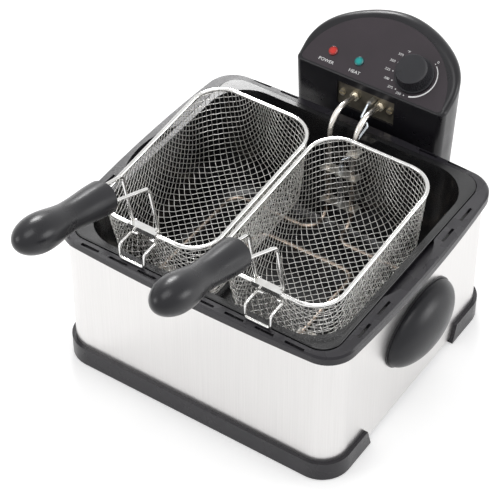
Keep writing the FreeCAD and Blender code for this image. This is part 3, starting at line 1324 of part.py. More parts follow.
def handle_saddle(side):
    """Folded sheet over the front of the rim, with two ears that the handle turns in."""
    rim = dim("rim_radius")
    gap = dim("seat_gap")
    thick = dim("saddle_sheet")
    line = -dim("basket_long")
    half = dim("saddle_width") / 2
    outer = line - rim - gap - thick
    top = rim + gap + thick
    inner = line + rim + gap
    ear_out = dim("ear_x") + dim("ear_thick") / 2
    ear_in = dim("ear_x") - dim("ear_thick") / 2
    pivot = line + dim("pivot_inset")
    around = dim("wire_radius") + dim("pin_fit") + dim("ear_margin")
    flange = dim("wire_half") - dim("wire_foot") - dim("flange_clear")
    pieces = [box((-half, half), (outer, line + dim("saddle_back")), (top - thick, top)),
              box((-ear_out, ear_out), (outer, pivot), (top - thick, top)),
              box((-flange, flange), (inner, inner + thick), (-around, top))]
    holes = [cylinder(rim + gap, (-half, line, 0), (half, line, 0))]
    for sign in (-1, 1):
        low = min(sign * ear_in, sign * ear_out)
        pieces.append(box((low, low + dim("ear_thick")), (inner, pivot), (-around, top)))
        pieces.append(cylinder(around, (low, pivot, 0), (low + dim("ear_thick"), pivot, 0)))
        holes.append(cylinder(dim("wire_radius") + dim("pin_fit"), (low - 1, pivot, 0),
                              (low + dim("ear_thick") + 1, pivot, 0)))
    front = box((-half, half), (outer, outer + thick), (-dim("saddle_drop"), top))
    shape = front.multiFuse(pieces).cut(Part.makeCompound(holes)).removeSplitter()
    return in_basket("handle_saddle", side, shape, dim(side + "_saddle_shift"))


# --- basket handles --------------------------------------------------------------

def handle_pivot(side):
    """Middle of a handle's hinge line."""
    return basket_place(side).multVec(Vector(dim(side + "_saddle_shift"),
                                             -dim("basket_long") + dim("pivot_inset"), 0))


def grip_place(side):
    """Placement that carries a grip drawn along +X from its flat end to its real place."""
    start = handle_pivot(side) + Vector(0, -dim(side + "_grip_start"), dim("grip_rise"))
    forward = Rotation(Vector(0, 0, 1), dim("grip_skew") - 90)
    tilt = Rotation(Vector(0, 1, 0), -dim("grip_angle"))
    return Placement(start, forward.multiply(tilt))


def handle_wires(side):
    """Two bent wires from the hinge's ears up and forward into the grip."""
    pivot = handle_pivot(side)
    place = grip_place(side)
    half = dim("wire_half")
    bends = [dim("foot_bend"), dim("wire_bend"), dim("wire_bend")]
    wires = []
    for sign in (-1, 1):
        near = sign * dim("wire_end_half")
        points = [pivot + Vector(sign * (half - dim("wire_foot")), 0, 0),
                  pivot + Vector(sign * half, 0, 0),
                  pivot + Vector(sign * half, -dim("wire_lean"), dim("wire_rise")),
                  place.multVec(Vector(-dim("wire_lead"), near, 0)),
                  place.multVec(Vector(dim("wire_hold"), near, 0))]
        wires.append(rod(points, bends, dim("wire_radius")))
    return group(side + "_handle_wires", wires)


def grip_profile():
    """Half outline of the grip: chamfered flat end, waist, bulb and elliptical nose."""
    length = dim("grip_length")
    end = dim("grip_end_radius")
    bulb = dim("grip_bulb_radius")
    bulb_at = dim("grip_bulb_at")
    edge = dim("grip_edge")
    flank = Part.BSplineCurve()
    flank.interpolate(Points=[Vector(edge, end, 0),
                              Vector(dim("grip_waist_at"), dim("grip_waist_radius"), 0),
                              Vector(bulb_at, bulb, 0)],
                      Tangents=[Vector(1, 0, 0)] * 3, TangentFlags=[True] * 3)
    oval = Part.Ellipse(Vector(bulb_at, 0, 0), length - bulb_at, bulb)
    nose = Part.ArcOfEllipse(oval, 0, math.pi / 2)
    return Part.Wire(Part.sortEdges([
        Part.LineSegment(Vector(0, 0, 0), Vector(0, end - edge, 0)).toShape(),
        Part.LineSegment(Vector(0, end - edge, 0), Vector(edge, end, 0)).toShape(),
        flank.toShape(), nose.toShape(),
        Part.LineSegment(Vector(length, 0, 0), Vector(0, 0, 0)).toShape()])[0])


def handle_grip(side):
    """Heat-proof grip, a little flattened, with two blind bores for the wires."""
    grip = Part.Face(grip_profile()).revolve(Vector(0, 0, 0), Vector(1, 0, 0), 360)
    squeeze = Matrix()
    squeeze.A33 = dim("grip_flatten")
    grip = grip.transformGeometry(squeeze)
    deep = dim("wire_hold") + dim("seat_gap")
    bores = [cylinder(dim("wire_radius") + dim("pin_fit"), (-1, sign * dim("wire_end_half"), 0),
                      (deep, sign * dim("wire_end_half"), 0)) for sign in (-1, 1)]
    obj = solid(side + "_handle_grip", grip.cut(Part.makeCompound(bores)))
    obj.Placement = grip_place(side)
    return obj


# --- the whole fryer -------------------------------------------------------------

outer_shell()
top_bezel()
base_strip("front_base_strip", -1)
base_strip("rear_base_strip", 1)
rubber_feet()
base_tray()
tie_screws()
heat_shield()
side_handles()
head_dock()
dock_screws()
oil_pot()
head_shells()
cover_screws()
control_panel()
lamp("power_lamp", dim("power_lamp_x"))
lamp("heat_lamp", dim("heat_lamp_x"))
thermostat_knob()
thermostat_shaft()
thermostat_body()
element_bracket()
bracket_screws()
element_nuts()
heating_element()
element_stays()
sensor()
cord_socket()
reset_button()
terminal_block()
for hand in ("left", "right"):
    basket_rim(hand)
    basket_mesh(hand)
    basket_hook(hand)
    handle_saddle(hand)
    handle_wires(hand)
    handle_grip(hand)
for item in NODES:
    item.Placement = Placement(Vector(0, dim("housing_place"), 0), Rotation()).multiply(item.Placement)
doc.recompute()

for item in doc.Objects:
    if "Invalid" in item.State or "Error" in item.State:
        raise RuntimeError("%s did not compute" % item.Label)
for item in NODES:
    if item.Shape.isNull() or not item.Shape.isValid():
        raise RuntimeError("%s has no valid shape" % item.Label)
    if not item.Shape.Solids:
        raise RuntimeError("%s has no solid" % item.Label)
os.makedirs("parts", exist_ok=True)
for item in NODES:
    item.Shape.exportStep(os.path.join("parts", item.Label + ".step"))
print("%d nodes" % len(NODES))
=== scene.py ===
"""Dual basket deep fryer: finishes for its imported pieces, and the dial, lenses, print and
woven baskets made here.

X runs to the right, -Y to the front where the baskets' handles point, Z up from the table.
"""

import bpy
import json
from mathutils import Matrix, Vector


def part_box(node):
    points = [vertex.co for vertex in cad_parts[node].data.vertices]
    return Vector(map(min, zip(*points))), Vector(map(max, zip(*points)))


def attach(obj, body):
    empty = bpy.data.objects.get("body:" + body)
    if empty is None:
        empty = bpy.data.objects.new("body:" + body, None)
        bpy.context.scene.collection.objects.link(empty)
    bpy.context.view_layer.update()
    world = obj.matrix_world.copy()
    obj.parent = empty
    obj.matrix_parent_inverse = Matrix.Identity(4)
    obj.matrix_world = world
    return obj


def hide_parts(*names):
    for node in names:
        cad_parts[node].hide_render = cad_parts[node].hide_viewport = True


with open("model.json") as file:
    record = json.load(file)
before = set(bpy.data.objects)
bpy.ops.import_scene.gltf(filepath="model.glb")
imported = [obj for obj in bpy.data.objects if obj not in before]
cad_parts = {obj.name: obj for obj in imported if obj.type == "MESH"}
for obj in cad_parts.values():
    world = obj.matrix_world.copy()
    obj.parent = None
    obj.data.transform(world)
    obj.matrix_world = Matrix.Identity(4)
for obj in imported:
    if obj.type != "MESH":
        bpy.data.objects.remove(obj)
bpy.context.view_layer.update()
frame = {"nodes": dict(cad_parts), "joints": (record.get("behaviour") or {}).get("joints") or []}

import json
from math import cos, pi, radians, sin

import bmesh
import bpy
import numpy as np
from mathutils import Matrix, Vector


# --- steel housing --------------------------------------------------------------
# One wrapper of stainless sheet with bowed sides, brushed up and down and
# clamped between the plastic rim and the base strips.

def finish(name, colour, metallic, roughness, **sockets):
    """Principled material; a keyword is a shader socket's name with _ for its spaces."""
    made = bpy.data.materials.new(name)
    made.use_nodes = True
    inputs = made.node_tree.nodes["Principled BSDF"].inputs
    inputs["Base Color"].default_value = (*colour, 1)
    inputs["Metallic"].default_value = metallic
    inputs["Roughness"].default_value = roughness
    for socket, value in sockets.items():
        inputs[socket.replace("_", " ")].default_value = value
    return made


def cloud(made, size, stretch=(1, 1, 1), detail=2.0):
    """Noise over the piece's own metres, its blobs of one size times a stretch along X, Y, Z."""
    nodes, links = made.node_tree.nodes, made.node_tree.links
    place = nodes.new("ShaderNodeTexCoord")
    squeeze = nodes.new("ShaderNodeMapping")
    squeeze.inputs["Scale"].default_value = [1 / (size * along) for along in stretch]
    noise = nodes.new("ShaderNodeTexNoise")
    noise.inputs["Scale"].default_value = 1.0
    noise.inputs["Detail"].default_value = detail
    links.new(place.outputs["Object"], squeeze.inputs["Vector"])
    links.new(squeeze.outputs["Vector"], noise.inputs["Vector"])
    return noise.outputs[0]


def vary(made, socket, source, low, high, start=0.3, end=0.7):
    """The shader's socket runs from low to high as source runs from start to end."""
    nodes, links = made.node_tree.nodes, made.node_tree.links
    span = nodes.new("ShaderNodeMapRange")
    span.inputs["From Min"].default_value = start
    span.inputs["From Max"].default_value = end
    links.new(source, span.inputs["Value"])
    result = span.outputs["Result"]
    if isinstance(low, tuple):
        mix = nodes.new("ShaderNodeMix")
        mix.data_type = "RGBA"
        mix.inputs["A"].default_value = (*low, 1)
        mix.inputs["B"].default_value = (*high, 1)
        links.new(result, mix.inputs["Factor"])
        result = mix.outputs["Result"]
    else:
        span.inputs["To Min"].default_value = low
        span.inputs["To Max"].default_value = high
    links.new(result, nodes["Principled BSDF"].inputs[socket])


def relief(made, source, depth):
    """Bump of that depth in metres; a second relief lies on top of the first."""
    nodes, links = made.node_tree.nodes, made.node_tree.links
    bump = nodes.new("ShaderNodeBump")
    bump.inputs["Distance"].default_value = depth
    links.new(source, bump.inputs["Height"])
    normal = nodes["Principled BSDF"].inputs["Normal"]
    if normal.links:
        links.new(normal.links[0].from_socket, bump.inputs["Normal"])
    links.new(bump.outputs["Normal"], normal)


def dress(made, *pieces):
    """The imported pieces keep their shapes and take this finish."""
    for piece in pieces:
        sheet = frame["nodes"][piece].data
        sheet.materials.clear()
        sheet.materials.append(made)


steel = finish("brushed_steel", (0.78, 0.768, 0.76), metallic=1.0, roughness=0.3)
brushing = cloud(steel, size=0.00045, stretch=(1, 1, 240), detail=3.0)
sheen = cloud(steel, size=0.0009, stretch=(1, 1, 90))
vary(steel, "Base Color", brushing, (0.75, 0.738, 0.73), (0.81, 0.798, 0.79))
vary(steel, "Roughness", sheen, 0.28, 0.32)
relief(steel, brushing, depth=0.0000012)
relief(steel, cloud(steel, size=0.12), depth=0.0003)
dress(steel, "outer_shell")


# --- plastic rim, base strips and side handles ----------------------------------
# Charcoal plastic with a fine spark-eroded grain. The rim drops into the
# sheet's upper edge; the strips and the two cupped handles are screwed on.

def moulded(name, colour, roughness, grain=0.0005, depth=0.00003):
    """Moulded plastic: fine grain, a slow change of sheen, and a faint cloudiness."""
    made = finish(name, colour, metallic=0.0, roughness=roughness, Specular_IOR_Level=0.4)
    dark = tuple(0.9 * part for part in colour)
    light = tuple(1.12 * part for part in colour)
    vary(made, "Base Color", cloud(made, size=0.035, detail=4.0), dark, light)
    vary(made, "Roughness", cloud(made, size=0.022), roughness - 0.05, roughness + 0.05)
    relief(made, cloud(made, size=grain, detail=3.0), depth)
    return made


charcoal = moulded("charcoal_plastic", (0.018, 0.0165, 0.021), roughness=0.28)
dress(charcoal, "top_bezel", "front_base_strip", "rear_base_strip")

handle_black = moulded("side_handle_plastic", (0.012, 0.012, 0.015), roughness=0.33, grain=0.0006)
dress(handle_black, "right_side_handle", "left_side_handle",
      "right_handle_plate", "left_handle_plate", "head_dock")


# --- underside and heat shield --------------------------------------------------
# Zinc-plated pressings inside the housing, held by tie screws, and four
# rubber feet pushed into the strips' corners.

zinc = finish("zinc_sheet", (0.6, 0.61, 0.62), metallic=1.0, roughness=0.42)
spangle = cloud(zinc, size=0.009, detail=1.0)
vary(zinc, "Base Color", spangle, (0.5, 0.51, 0.53), (0.66, 0.67, 0.68))
vary(zinc, "Roughness", cloud(zinc, size=0.006), 0.34, 0.52)
relief(zinc, cloud(zinc, size=0.03), depth=0.0002)
dress(zinc, "base_tray", "heat_shield")

screw_zinc = finish("zinc_screws", (0.68, 0.68, 0.69), metallic=1.0, roughness=0.28)
vary(screw_zinc, "Roughness", cloud(screw_zinc, size=0.0015), 0.2, 0.4)
vary(screw_zinc, "Base Color", cloud(screw_zinc, size=0.003), (0.6, 0.6, 0.62),
     (0.74, 0.74, 0.74))
dress(screw_zinc, "tie_screws", "handle_screws", "dock_screws", "cover_screws")

rubber = moulded("foot_rubber", (0.026, 0.026, 0.027), roughness=0.78, grain=0.0004,
                 depth=0.00006)
dress(rubber, "rubber_feet")


# --- oil pot --------------------------------------------------------------------
# Deep-drawn steel tub with a rolled flange, coated inside and out with
# glossy black enamel that lies in very shallow waves.

enamel = finish("black_enamel", (0.008, 0.008, 0.009), metallic=0.0, roughness=0.2,
                Coat_Weight=0.3, Coat_Roughness=0.1)
vary(enamel, "Roughness", cloud(enamel, size=0.03, detail=3.0), 0.18, 0.26)
vary(enamel, "Base Color", cloud(enamel, size=0.0011), (0.006, 0.006, 0.007),
     (0.013, 0.013, 0.014))
relief(enamel, cloud(enamel, size=0.02), depth=0.00004)
dress(enamel, "oil_pot")


# --- control head ---------------------------------------------------------------
# Two charcoal shells, front and rear, closed by screws from behind; the
# sloping face carries a printed sheet a shade warmer than the shells.

head_black = moulded("head_plastic", (0.009, 0.0085, 0.011), roughness=0.31)
dress(head_black, "head_front_shell", "head_rear_cover")

sheet_grey = moulded("panel_sheet", (0.03, 0.022, 0.028), roughness=0.46, grain=0.0004,
                     depth=0.000015)
dress(sheet_grey, "control_panel")


# --- dial -----------------------------------------------------------------------
# One moulding: a wide skirt, a tapered side with finger flutes, a flat top
# with a broken edge and a pointer line, on the thermostat's spindle.

dial_radius, dial_top, dial_height, dial_skirt = 0.0222, 0.0178, 0.017, 0.003
dial_gap, bore_radius, bore_depth = 0.0006, 0.00305, 0.011   # over the panel; on the spindle
skirt_foot, skirt_edge, skirt_ledge = 0.0004, 0.0005, 0.0016
top_edge, top_break, top_margin = 0.0007, (0.0003, 0.0002), 0.0008
side_rows, top_ring = 14, 0.003
flutes, flute_points, flute_depth, flute_start, flute_fade = 48, 6, 0.035, 0.0004, 0.0012

hinge = next(joint for joint in frame["joints"] if joint["name"] == "thermostat_turn")
panel_slope = radians(30)
slope = Matrix.Rotation(panel_slope, 4, "X")
dial_place = Matrix.Translation(hinge["pos_m"]) @ slope


def fluted(angle, radius, height):
    """Radius times 1 - depth s (0.5 + 0.5 cos 48 a)^2 at angle a. The share s is 1 on the
    side, fades to 0 just over the skirt and under the top's edge, and is 0 in the bore."""
    low = np.clip((height - dial_skirt - flute_start) / flute_fade, 0, 1)
    high = np.clip((dial_height - flute_fade - height) / flute_fade, 0, 1)
    share = np.where(radius > bore_radius, low * high, 0)
    return radius * (1 - flute_depth * share * (0.5 + 0.5 * np.cos(flutes * angle)) ** 2)


def ring_faces(rows, count):
    """Numbers of the points of rows of rings, the same numbers one place further round, and
    the quads from each ring to the next."""
    index = np.arange(rows * count).reshape(rows, count)
    after = np.roll(index, -1, axis=1)
    return index, after, np.stack([index[:-1], after[:-1], after[1:], index[1:]], -1).reshape(-1, 4)


def turned(profile, count, ripple=None):
    """Surface of revolution: the profile's (radius, height) at angle a is the point
    (radius cos a, radius sin a, height), radius passed through ripple(a, radius, height).
    The profile starts and ends on the axis, and both poles are single points."""
    radius, height = np.array(profile[1:-1], float).T[:, :, None]
    angle = np.linspace(0, 2 * pi, count, endpoint=False)[None, :]
    radius = radius + 0 * angle
    height = height + 0 * angle
    if ripple:
        radius = ripple(angle, radius, height)
    grid = np.stack([radius * np.cos(angle), radius * np.sin(angle), height], -1)
    points = np.concatenate([grid.reshape(-1, 3), [[0, 0, profile[0][1]]],
                             [[0, 0, profile[-1][1]]]])
    index, after, quads = ring_faces(len(profile) - 2, count)
    pole = np.full(count, index.size)
    fans = np.concatenate([np.stack([pole, after[0], index[0]], -1),
                           np.stack([pole + 1, index[-1], after[-1]], -1)])
    return points, quads.tolist() + fans.tolist()


def skinned(name, points, faces, crease=40):
    """Mesh of these points and faces, smooth except across edges sharper than the crease."""
    sheet = bpy.data.meshes.new(name)
    sheet.from_pydata(points, [], faces)
    sheet.polygons.foreach_set("use_smooth", np.ones(len(sheet.polygons), bool))
    sheet.set_sharp_from_angle(angle=radians(crease))
    return sheet


def piece_of(name, sheet, made, body, slot, *replaced):
    """Object at the origin with its place in its mesh, riding on a body."""
    piece = bpy.data.objects.new(name, sheet)
    bpy.context.scene.collection.objects.link(piece)
    sheet.materials.append(made)
    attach(piece, body)
    if replaced:
        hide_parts(*replaced)
    return piece


side_foot = dial_radius - skirt_ledge
climb = np.linspace(0, 1, side_rows)
side = np.stack([side_foot + (dial_top - side_foot) * climb,
                 dial_skirt + (dial_height - top_edge - dial_skirt) * climb], -1).tolist()
dial_profile = [(0, bore_depth), (bore_radius, bore_depth), (bore_radius, 0),
                (dial_radius - skirt_foot, 0), (dial_radius, skirt_foot),
                (dial_radius, dial_skirt - skirt_edge), (dial_radius - skirt_edge, dial_skirt),
                *side, (dial_top - top_break[0], dial_height - top_break[1]),
                (dial_top - top_margin, dial_height), (dial_top - top_ring, dial_height),
                (0, dial_height)]
dial_mesh = skinned("dial", *turned(dial_profile, flutes * flute_points, fluted), crease=32)
dial_mesh.transform(dial_place @ Matrix.Translation((0, 0, dial_gap)))
dial_black = moulded("dial_plastic", (0.018, 0.018, 0.022), roughness=0.36, grain=0.0004,
                     depth=0.00002)
piece_of("dial", dial_mesh, dial_black, "knob", "knob_plastic", "thermostat_knob")

# The pointer line is a groove, drawn as a thin flat bar on the dial's top.
mark_half, mark_slimness, mark_height, mark_lift = 0.0032, 0.14, 0.00012, 0.00001
mark_distance, mark_angle = 0.0136, radians(-145)
mark = skinned("dial_mark", *turned([(0, 0), (mark_half, 0), (mark_half, mark_height),
                                     (0, mark_height)], count=32))
mark.transform(dial_place @ Matrix.Rotation(mark_angle, 4, "Z")
               @ Matrix.Translation((mark_distance, 0, dial_gap + dial_height + mark_lift))
               @ Matrix.Diagonal((1, mark_slimness, 1, 1)))
# The bar is darker than the dial: painted shade of the pointer's groove.
groove_shade_black = moulded("dial_mark_painted_groove_shade", (0.012, 0.012, 0.013), roughness=0.6, grain=0.0003,
                     depth=0.00001)
piece_of("dial_mark", mark, groove_shade_black, "knob", "knob_plastic")


# --- pilot lamps ----------------------------------------------------------------
# Translucent push-in lenses, red for mains and blue-green for heat: a domed
# cap with radial facets under its skin, on a barrel behind the panel.

lens_radius, lens_height, barrel_radius, barrel_depth = 0.0056, 0.0016, 0.0046, 0.016
lens_edge, lens_rise, dome_rows = 0.0006, 0.0228, 8
crown = 0.55                                 # share of the radius inside the dome's arc
crown_dip = (0.52, 0.93), (0.3, 0.95)        # shares of the lens's radius and height
facets, facet_points, facet_depth, facet_start, facet_fade = 12, 6, 0.05, 0.0004, 0.0012
sheet_thickness, sheet_margin = 0.0008, 0.0026       # the panel's, from the slope's foot
panel_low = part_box("control_panel")[0]
panel_foot = Vector((0, panel_low.y - sheet_margin * cos(panel_slope),
                     panel_low.z + sheet_thickness * cos(panel_slope)
                     - sheet_margin * sin(panel_slope)))
panel_place = Matrix.Translation(panel_foot) @ slope


def faceted(angle, radius, height):
    """Radius times 1 - depth t (1 - |cos 6 a|), t rising over the dome: twelve facets."""
    dome = np.clip((height - facet_start) / facet_fade, 0, 1)
    return radius * (1 - facet_depth * dome * (1 - np.abs(np.cos(facets / 2 * angle))))


swell = np.linspace(0, pi / 2, dome_rows, endpoint=False)
dome = np.stack([lens_radius * (crown + (1 - crown) * np.cos(swell)),
                 lens_edge + (lens_height - lens_edge) * np.sin(swell)], -1).tolist()
lens_profile = [(0, -barrel_depth), (barrel_radius, -barrel_depth), (barrel_radius, 0),
                (lens_radius, 0), *dome,
                *[(lens_radius * out, lens_height * rise) for out, rise in crown_dip],
                (0, lens_height)]
# Each lens has two colours: a painted glow for its centre and painted shade for its rim.
for name, slot, x, shaded_rim_tone, lit_centre_tone in (
        ("power", "red_lens", -0.0572, (0.12, 0.002, 0.002), (0.7, 0.03, 0.02)),
        ("heat", "teal_lens", -0.0237, (0.0, 0.05, 0.055), (0.0, 0.36, 0.345))):
    lens = skinned(name + "_lens", *turned(lens_profile, facets * facet_points, faceted),
                   crease=25)
    far = np.empty(len(lens.vertices) * 3)
    lens.vertices.foreach_get("co", far)
    out = np.hypot(far[0::3], far[1::3]) / lens_radius
    lens.attributes.new("out", "FLOAT", "POINT").data.foreach_set("value", out)
    lens.transform(panel_place @ Matrix.Translation((x, lens_rise, 0)))
    glass = finish(name + "_lens_glass", lit_centre_tone, metallic=0.0, roughness=0.18,
                   Coat_Weight=0.1, Coat_Roughness=0.05)
    outward = glass.node_tree.nodes.new("ShaderNodeAttribute")
    outward.attribute_name = "out"
    # Painted glow at the lens's centre fades out to painted shade towards its rim.
    vary(glass, "Base Color", outward.outputs["Fac"], lit_centre_tone, shaded_rim_tone, start=0.45,
         end=0.98)
    vary(glass, "Roughness", cloud(glass, size=0.002), 0.12, 0.26)
    relief(glass, cloud(glass, size=0.0012), depth=0.00005)
    piece_of(name + "_lens", lens, glass, "head", slot, name + "_lamp")


# --- printing on the panel ------------------------------------------------------
# Pale screen-printed ink: the lamps' words, the temperature figures with
# their dots, and the line that widens from off to the lowest setting.

ink_height, dot_radius = 0.00006, 0.0007
word_height, figure_width, figure_height, figure_gap = 0.0036, 0.0062, 0.0028, 0.0066
ring_radius, dial_x, dial_rise = 0.0255, 0.042, 0.0318       # the scale's circle on the panel
off_angle, line_start, line_end = radians(53.8), radians(47), radians(-77.6)
line_thin, line_thick = 0.001, 0.0018
printing = bmesh.new()


def word(text, wide, tall, x, rise):
    """The text tool's closed letters, of any thickness at first, stretched to a box wide by
    tall by the ink's height round the point x, rise."""
    letters = bpy.data.curves.new(text, "FONT")
    letters.body = text
    letters.extrude = 0.1
    letters.resolution_u = 4
    holder = bpy.data.objects.new(text, letters)
    bpy.context.scene.collection.objects.link(holder)
    flat = bpy.data.meshes.new_from_object(holder)
    bpy.data.objects.remove(holder)
    far = np.empty(len(flat.vertices) * 3, np.float32)
    flat.vertices.foreach_get("co", far)
    low, high = far.reshape(-1, 3).min(0), far.reshape(-1, 3).max(0)
    span, middle = high - low, (high + low) / 2
    flat.transform(panel_place @ Matrix.Translation((x, rise, ink_height / 2))
                   @ Matrix.Diagonal((wide / span[0], tall / span[1], ink_height / span[2], 1))
                   @ Matrix.Translation([-part for part in middle]))
    printing.from_mesh(flat)
    bpy.data.meshes.remove(flat)


def on_scale(angle):
    """X and rise of the point at this angle on the scale's circle."""
    return dial_x + ring_radius * cos(angle), dial_rise + ring_radius * sin(angle)


def dot(angle):
    """Round dot of ink on the scale's circle."""
    spot = skinned("dot", *turned([(0, 0), (dot_radius, 0), (dot_radius, ink_height),
                                   (0, ink_height)], count=20))
    spot.transform(panel_place @ Matrix.Translation((*on_scale(angle), 0)))
    printing.from_mesh(spot)
    bpy.data.meshes.remove(spot)


def capped(rings):
    """Points and faces of a closed bar: quads from each ring of four points to the next and
    one over either end."""
    index, after, quads = ring_faces(*rings.shape[:2])
    return rings.reshape(-1, 3), np.concatenate([quads, [index[0, ::-1], index[-1]]])


def scale_line(start, end, thin, thick, count=60):
    """Band of ink round the dial: at angle a its edges lie half its width inside and
    outside the scale's circle, the width growing evenly from thin to thick."""
    angle = np.linspace(start, end, count)[:, None]
    half = np.linspace(thin, thick, count)[:, None] / 2
    radius = ring_radius + half * np.array([[-1, -1, 1, 1]])
    height = ink_height * np.array([[0, 1, 1, 0]]) + 0 * angle
    grid = np.stack([dial_x + radius * np.cos(angle), dial_rise + radius * np.sin(angle),
                     height], -1)
    band = skinned("line", *capped(grid))
    band.transform(panel_place)
    printing.from_mesh(band)
    bpy.data.meshes.remove(band)


for text, wide, tall, x, rise in (("POWER", 0.019, word_height, -0.059, 0.0098),
                                  ("HEAT", 0.0138, word_height, -0.0226, 0.0099),
                                  ("0", 0.002, figure_height, 0.059, 0.0555),
                                  ("°F", 0.0035, 0.0026, 0.0227, 0.0544)):
    word(text, wide, tall, x, rise)
for figure, degrees in (("250", -90.7), ("275", -118.4), ("300", -145), ("325", -169.7),
                        ("350", 165), ("375", 139.7)):
    dot(radians(degrees))
    x, rise = on_scale(radians(degrees))
    word(figure, figure_width, figure_height, x - figure_gap, rise)
dot(off_angle)
scale_line(line_start, line_end, line_thin, line_thick)
print_mesh = bpy.data.meshes.new("panel_print")
printing.to_mesh(print_mesh)
printing.free()

ink = finish("pale_ink", (0.9, 0.9, 0.9), metallic=0.0, roughness=0.5)
vary(ink, "Base Color", cloud(ink, size=0.0006), (0.84, 0.84, 0.84), (0.95, 0.95, 0.95))
relief(ink, cloud(ink, size=0.0003), depth=0.00001)
piece_of("panel_print", print_mesh, ink, "head", "panel_sheet")


# --- element, its bracket and the thermostat's bulb -----------------------------
# Stainless tubes bent out of a passivated plate, tinted by heat where they
# have run dry; brass nuts and screws, a copper-nickel capillary with a bulb.

olive = finish("bracket_metal", (0.17, 0.15, 0.12), metallic=0.6, roughness=0.42)
vary(olive, "Base Color", cloud(olive, size=0.012, detail=4.0), (0.13, 0.115, 0.092),
     (0.22, 0.2, 0.16))
vary(olive, "Roughness", cloud(olive, size=0.005), 0.36, 0.5)
relief(olive, cloud(olive, size=0.02), depth=0.00006)
dress(olive, "element_bracket")

brass = finish("brass", (0.9, 0.83, 0.66), metallic=1.0, roughness=0.32)
vary(brass, "Base Color", cloud(brass, size=0.002), (0.84, 0.75, 0.56), (0.96, 0.91, 0.78))
vary(brass, "Roughness", cloud(brass, size=0.0012), 0.26, 0.38)
dress(brass, "bracket_screws", "element_nuts", "socket_pins")

burnt_below, clean_above = 0.08, 0.15
tube = finish("element_tube", (0.75, 0.72, 0.67), metallic=1.0, roughness=0.24)
where = tube.node_tree.nodes.new("ShaderNodeTexCoord")
split = tube.node_tree.nodes.new("ShaderNodeSeparateXYZ")
tube.node_tree.links.new(where.outputs["Object"], split.inputs["Vector"])
vary(tube, "Base Color", split.outputs["Z"], (0.42, 0.35, 0.29), (0.88, 0.84, 0.79),
     start=burnt_below, end=clean_above)
vary(tube, "Roughness", cloud(tube, size=0.02, detail=3.0), 0.22, 0.3)
relief(tube, cloud(tube, size=0.0012), depth=0.000002)
dress(tube, "heating_element")

dull = finish("dull_metal", (0.5, 0.48, 0.44), metallic=1.0, roughness=0.45)
vary(dull, "Base Color", cloud(dull, size=0.004), (0.4, 0.38, 0.34), (0.58, 0.56, 0.52))
vary(dull, "Roughness", cloud(dull, size=0.002), 0.36, 0.56)
dress(dull, "element_stays", "capillary_gland", "bulb_clips", "capillary_clip",
      "thermostat_shaft")

cool_metal = finish("capillary_metal", (0.74, 0.79, 0.84), metallic=1.0, roughness=0.26)
vary(cool_metal, "Base Color", cloud(cool_metal, size=0.005), (0.64, 0.7, 0.77),
     (0.82, 0.86, 0.9))
dress(cool_metal, "capillary", "sensor_bulb")


# --- electrical parts -----------------------------------------------------------
# Brown phenolic bodies inside the head, the black inlet for the breakaway
# plug and the red reset button in the rear cover.

phenolic = moulded("phenolic", (0.2, 0.14, 0.085), roughness=0.5, grain=0.0004)
dress(phenolic, "thermostat_body", "limit_switch", "terminal_block")

inlet_black = moulded("inlet_plastic", (0.024, 0.024, 0.026), roughness=0.42, grain=0.0004)
dress(inlet_black, "cord_socket")

reset_red = moulded("reset_plastic", (0.55, 0.025, 0.02), roughness=0.28, grain=0.0006,
                    depth=0.00001)
dress(reset_red, "reset_button")


# --- basket rims, hooks and handles ---------------------------------------------
# Bright chrome-plated steel wire and a folded saddle on each rim, with a
# waisted charcoal grip pushed over the ends of the handle's wires.

chrome = finish("bright_chrome", (0.86, 0.855, 0.84), metallic=1.0, roughness=0.1)
vary(chrome, "Roughness", cloud(chrome, size=0.006, detail=3.0), 0.06, 0.18)
vary(chrome, "Base Color", cloud(chrome, size=0.012), (0.8, 0.79, 0.77), (0.9, 0.9, 0.89))
dress(chrome, *[hand + part for hand in ("left_", "right_")
                for part in ("basket_rim", "basket_hook", "handle_saddle", "handle_wires")])

grip_black = moulded("grip_plastic", (0.014, 0.014, 0.017), roughness=0.29, grain=0.0006)
dress(grip_black, "left_handle_grip", "right_handle_grip")


# --- woven baskets --------------------------------------------------------------
# Plain-woven steel cloth laid on the bias and pressed into a tub: its wires cross
# the floor at 45 degrees, turn upright at the corners and make diamonds on the walls.

cloth, wire_radius = 0.007, 0.0004         # one opening with its wire; half a wire
last_wire, last_half_step = 30, 70         # counted either way from the floor's middle
rim_half_x, rim_half_y, rim_corner, rim_overlap = 0.0699, 0.1087, 0.0338, 0.0002
tub_top, tub_depth, tub_taper, foot_radius = 0.0024, 0.097, 0.0095, 0.014
basket_pitch = radians(4.7)                # the baskets hang with their fronts raised
wall_slope = np.arctan2(tub_taper, tub_depth - tub_top)
wall_length = np.hypot(tub_taper, tub_depth - tub_top)
wall_end = wall_length - foot_radius * np.tan((pi / 2 - wall_slope) / 2)
tub_end = wall_end + foot_radius * (pi / 2 - wall_slope)


def level(down):
    """Outline of the tub a length down from its rim, as the corner's centre x and y, the
    corner's radius and the height. The wall leans in by the taper, then turns through the
    foot's arc: the taper moves a corner's centre in by half of what it leans and shortens
    its radius by half, the arc shortens the radius by all it moves in."""
    on_wall = np.minimum(down, wall_end)
    turn = wall_slope + np.clip(down - wall_end, 0, None) / foot_radius
    arc_in = foot_radius * (np.cos(wall_slope) - np.cos(turn))
    arc_down = foot_radius * (np.sin(turn) - np.sin(wall_slope))
    lean = on_wall * np.sin(wall_slope)
    return (rim_half_x - rim_corner - lean / 2, rim_half_y - rim_corner - lean / 2,
            rim_corner - lean / 2 - arc_in, -tub_top - on_wall * np.cos(wall_slope) - arc_down)


foot_x, foot_y, foot_corner, floor_level = level(tub_end)
cloth_reach = foot_corner + tub_end + rim_overlap


def reach(flat):
    """Distance of a point of the flat cloth from the floor's corner centre or centre lines."""
    return np.hypot(*np.clip(np.abs(flat) - (foot_x, foot_y), 0, None).T)


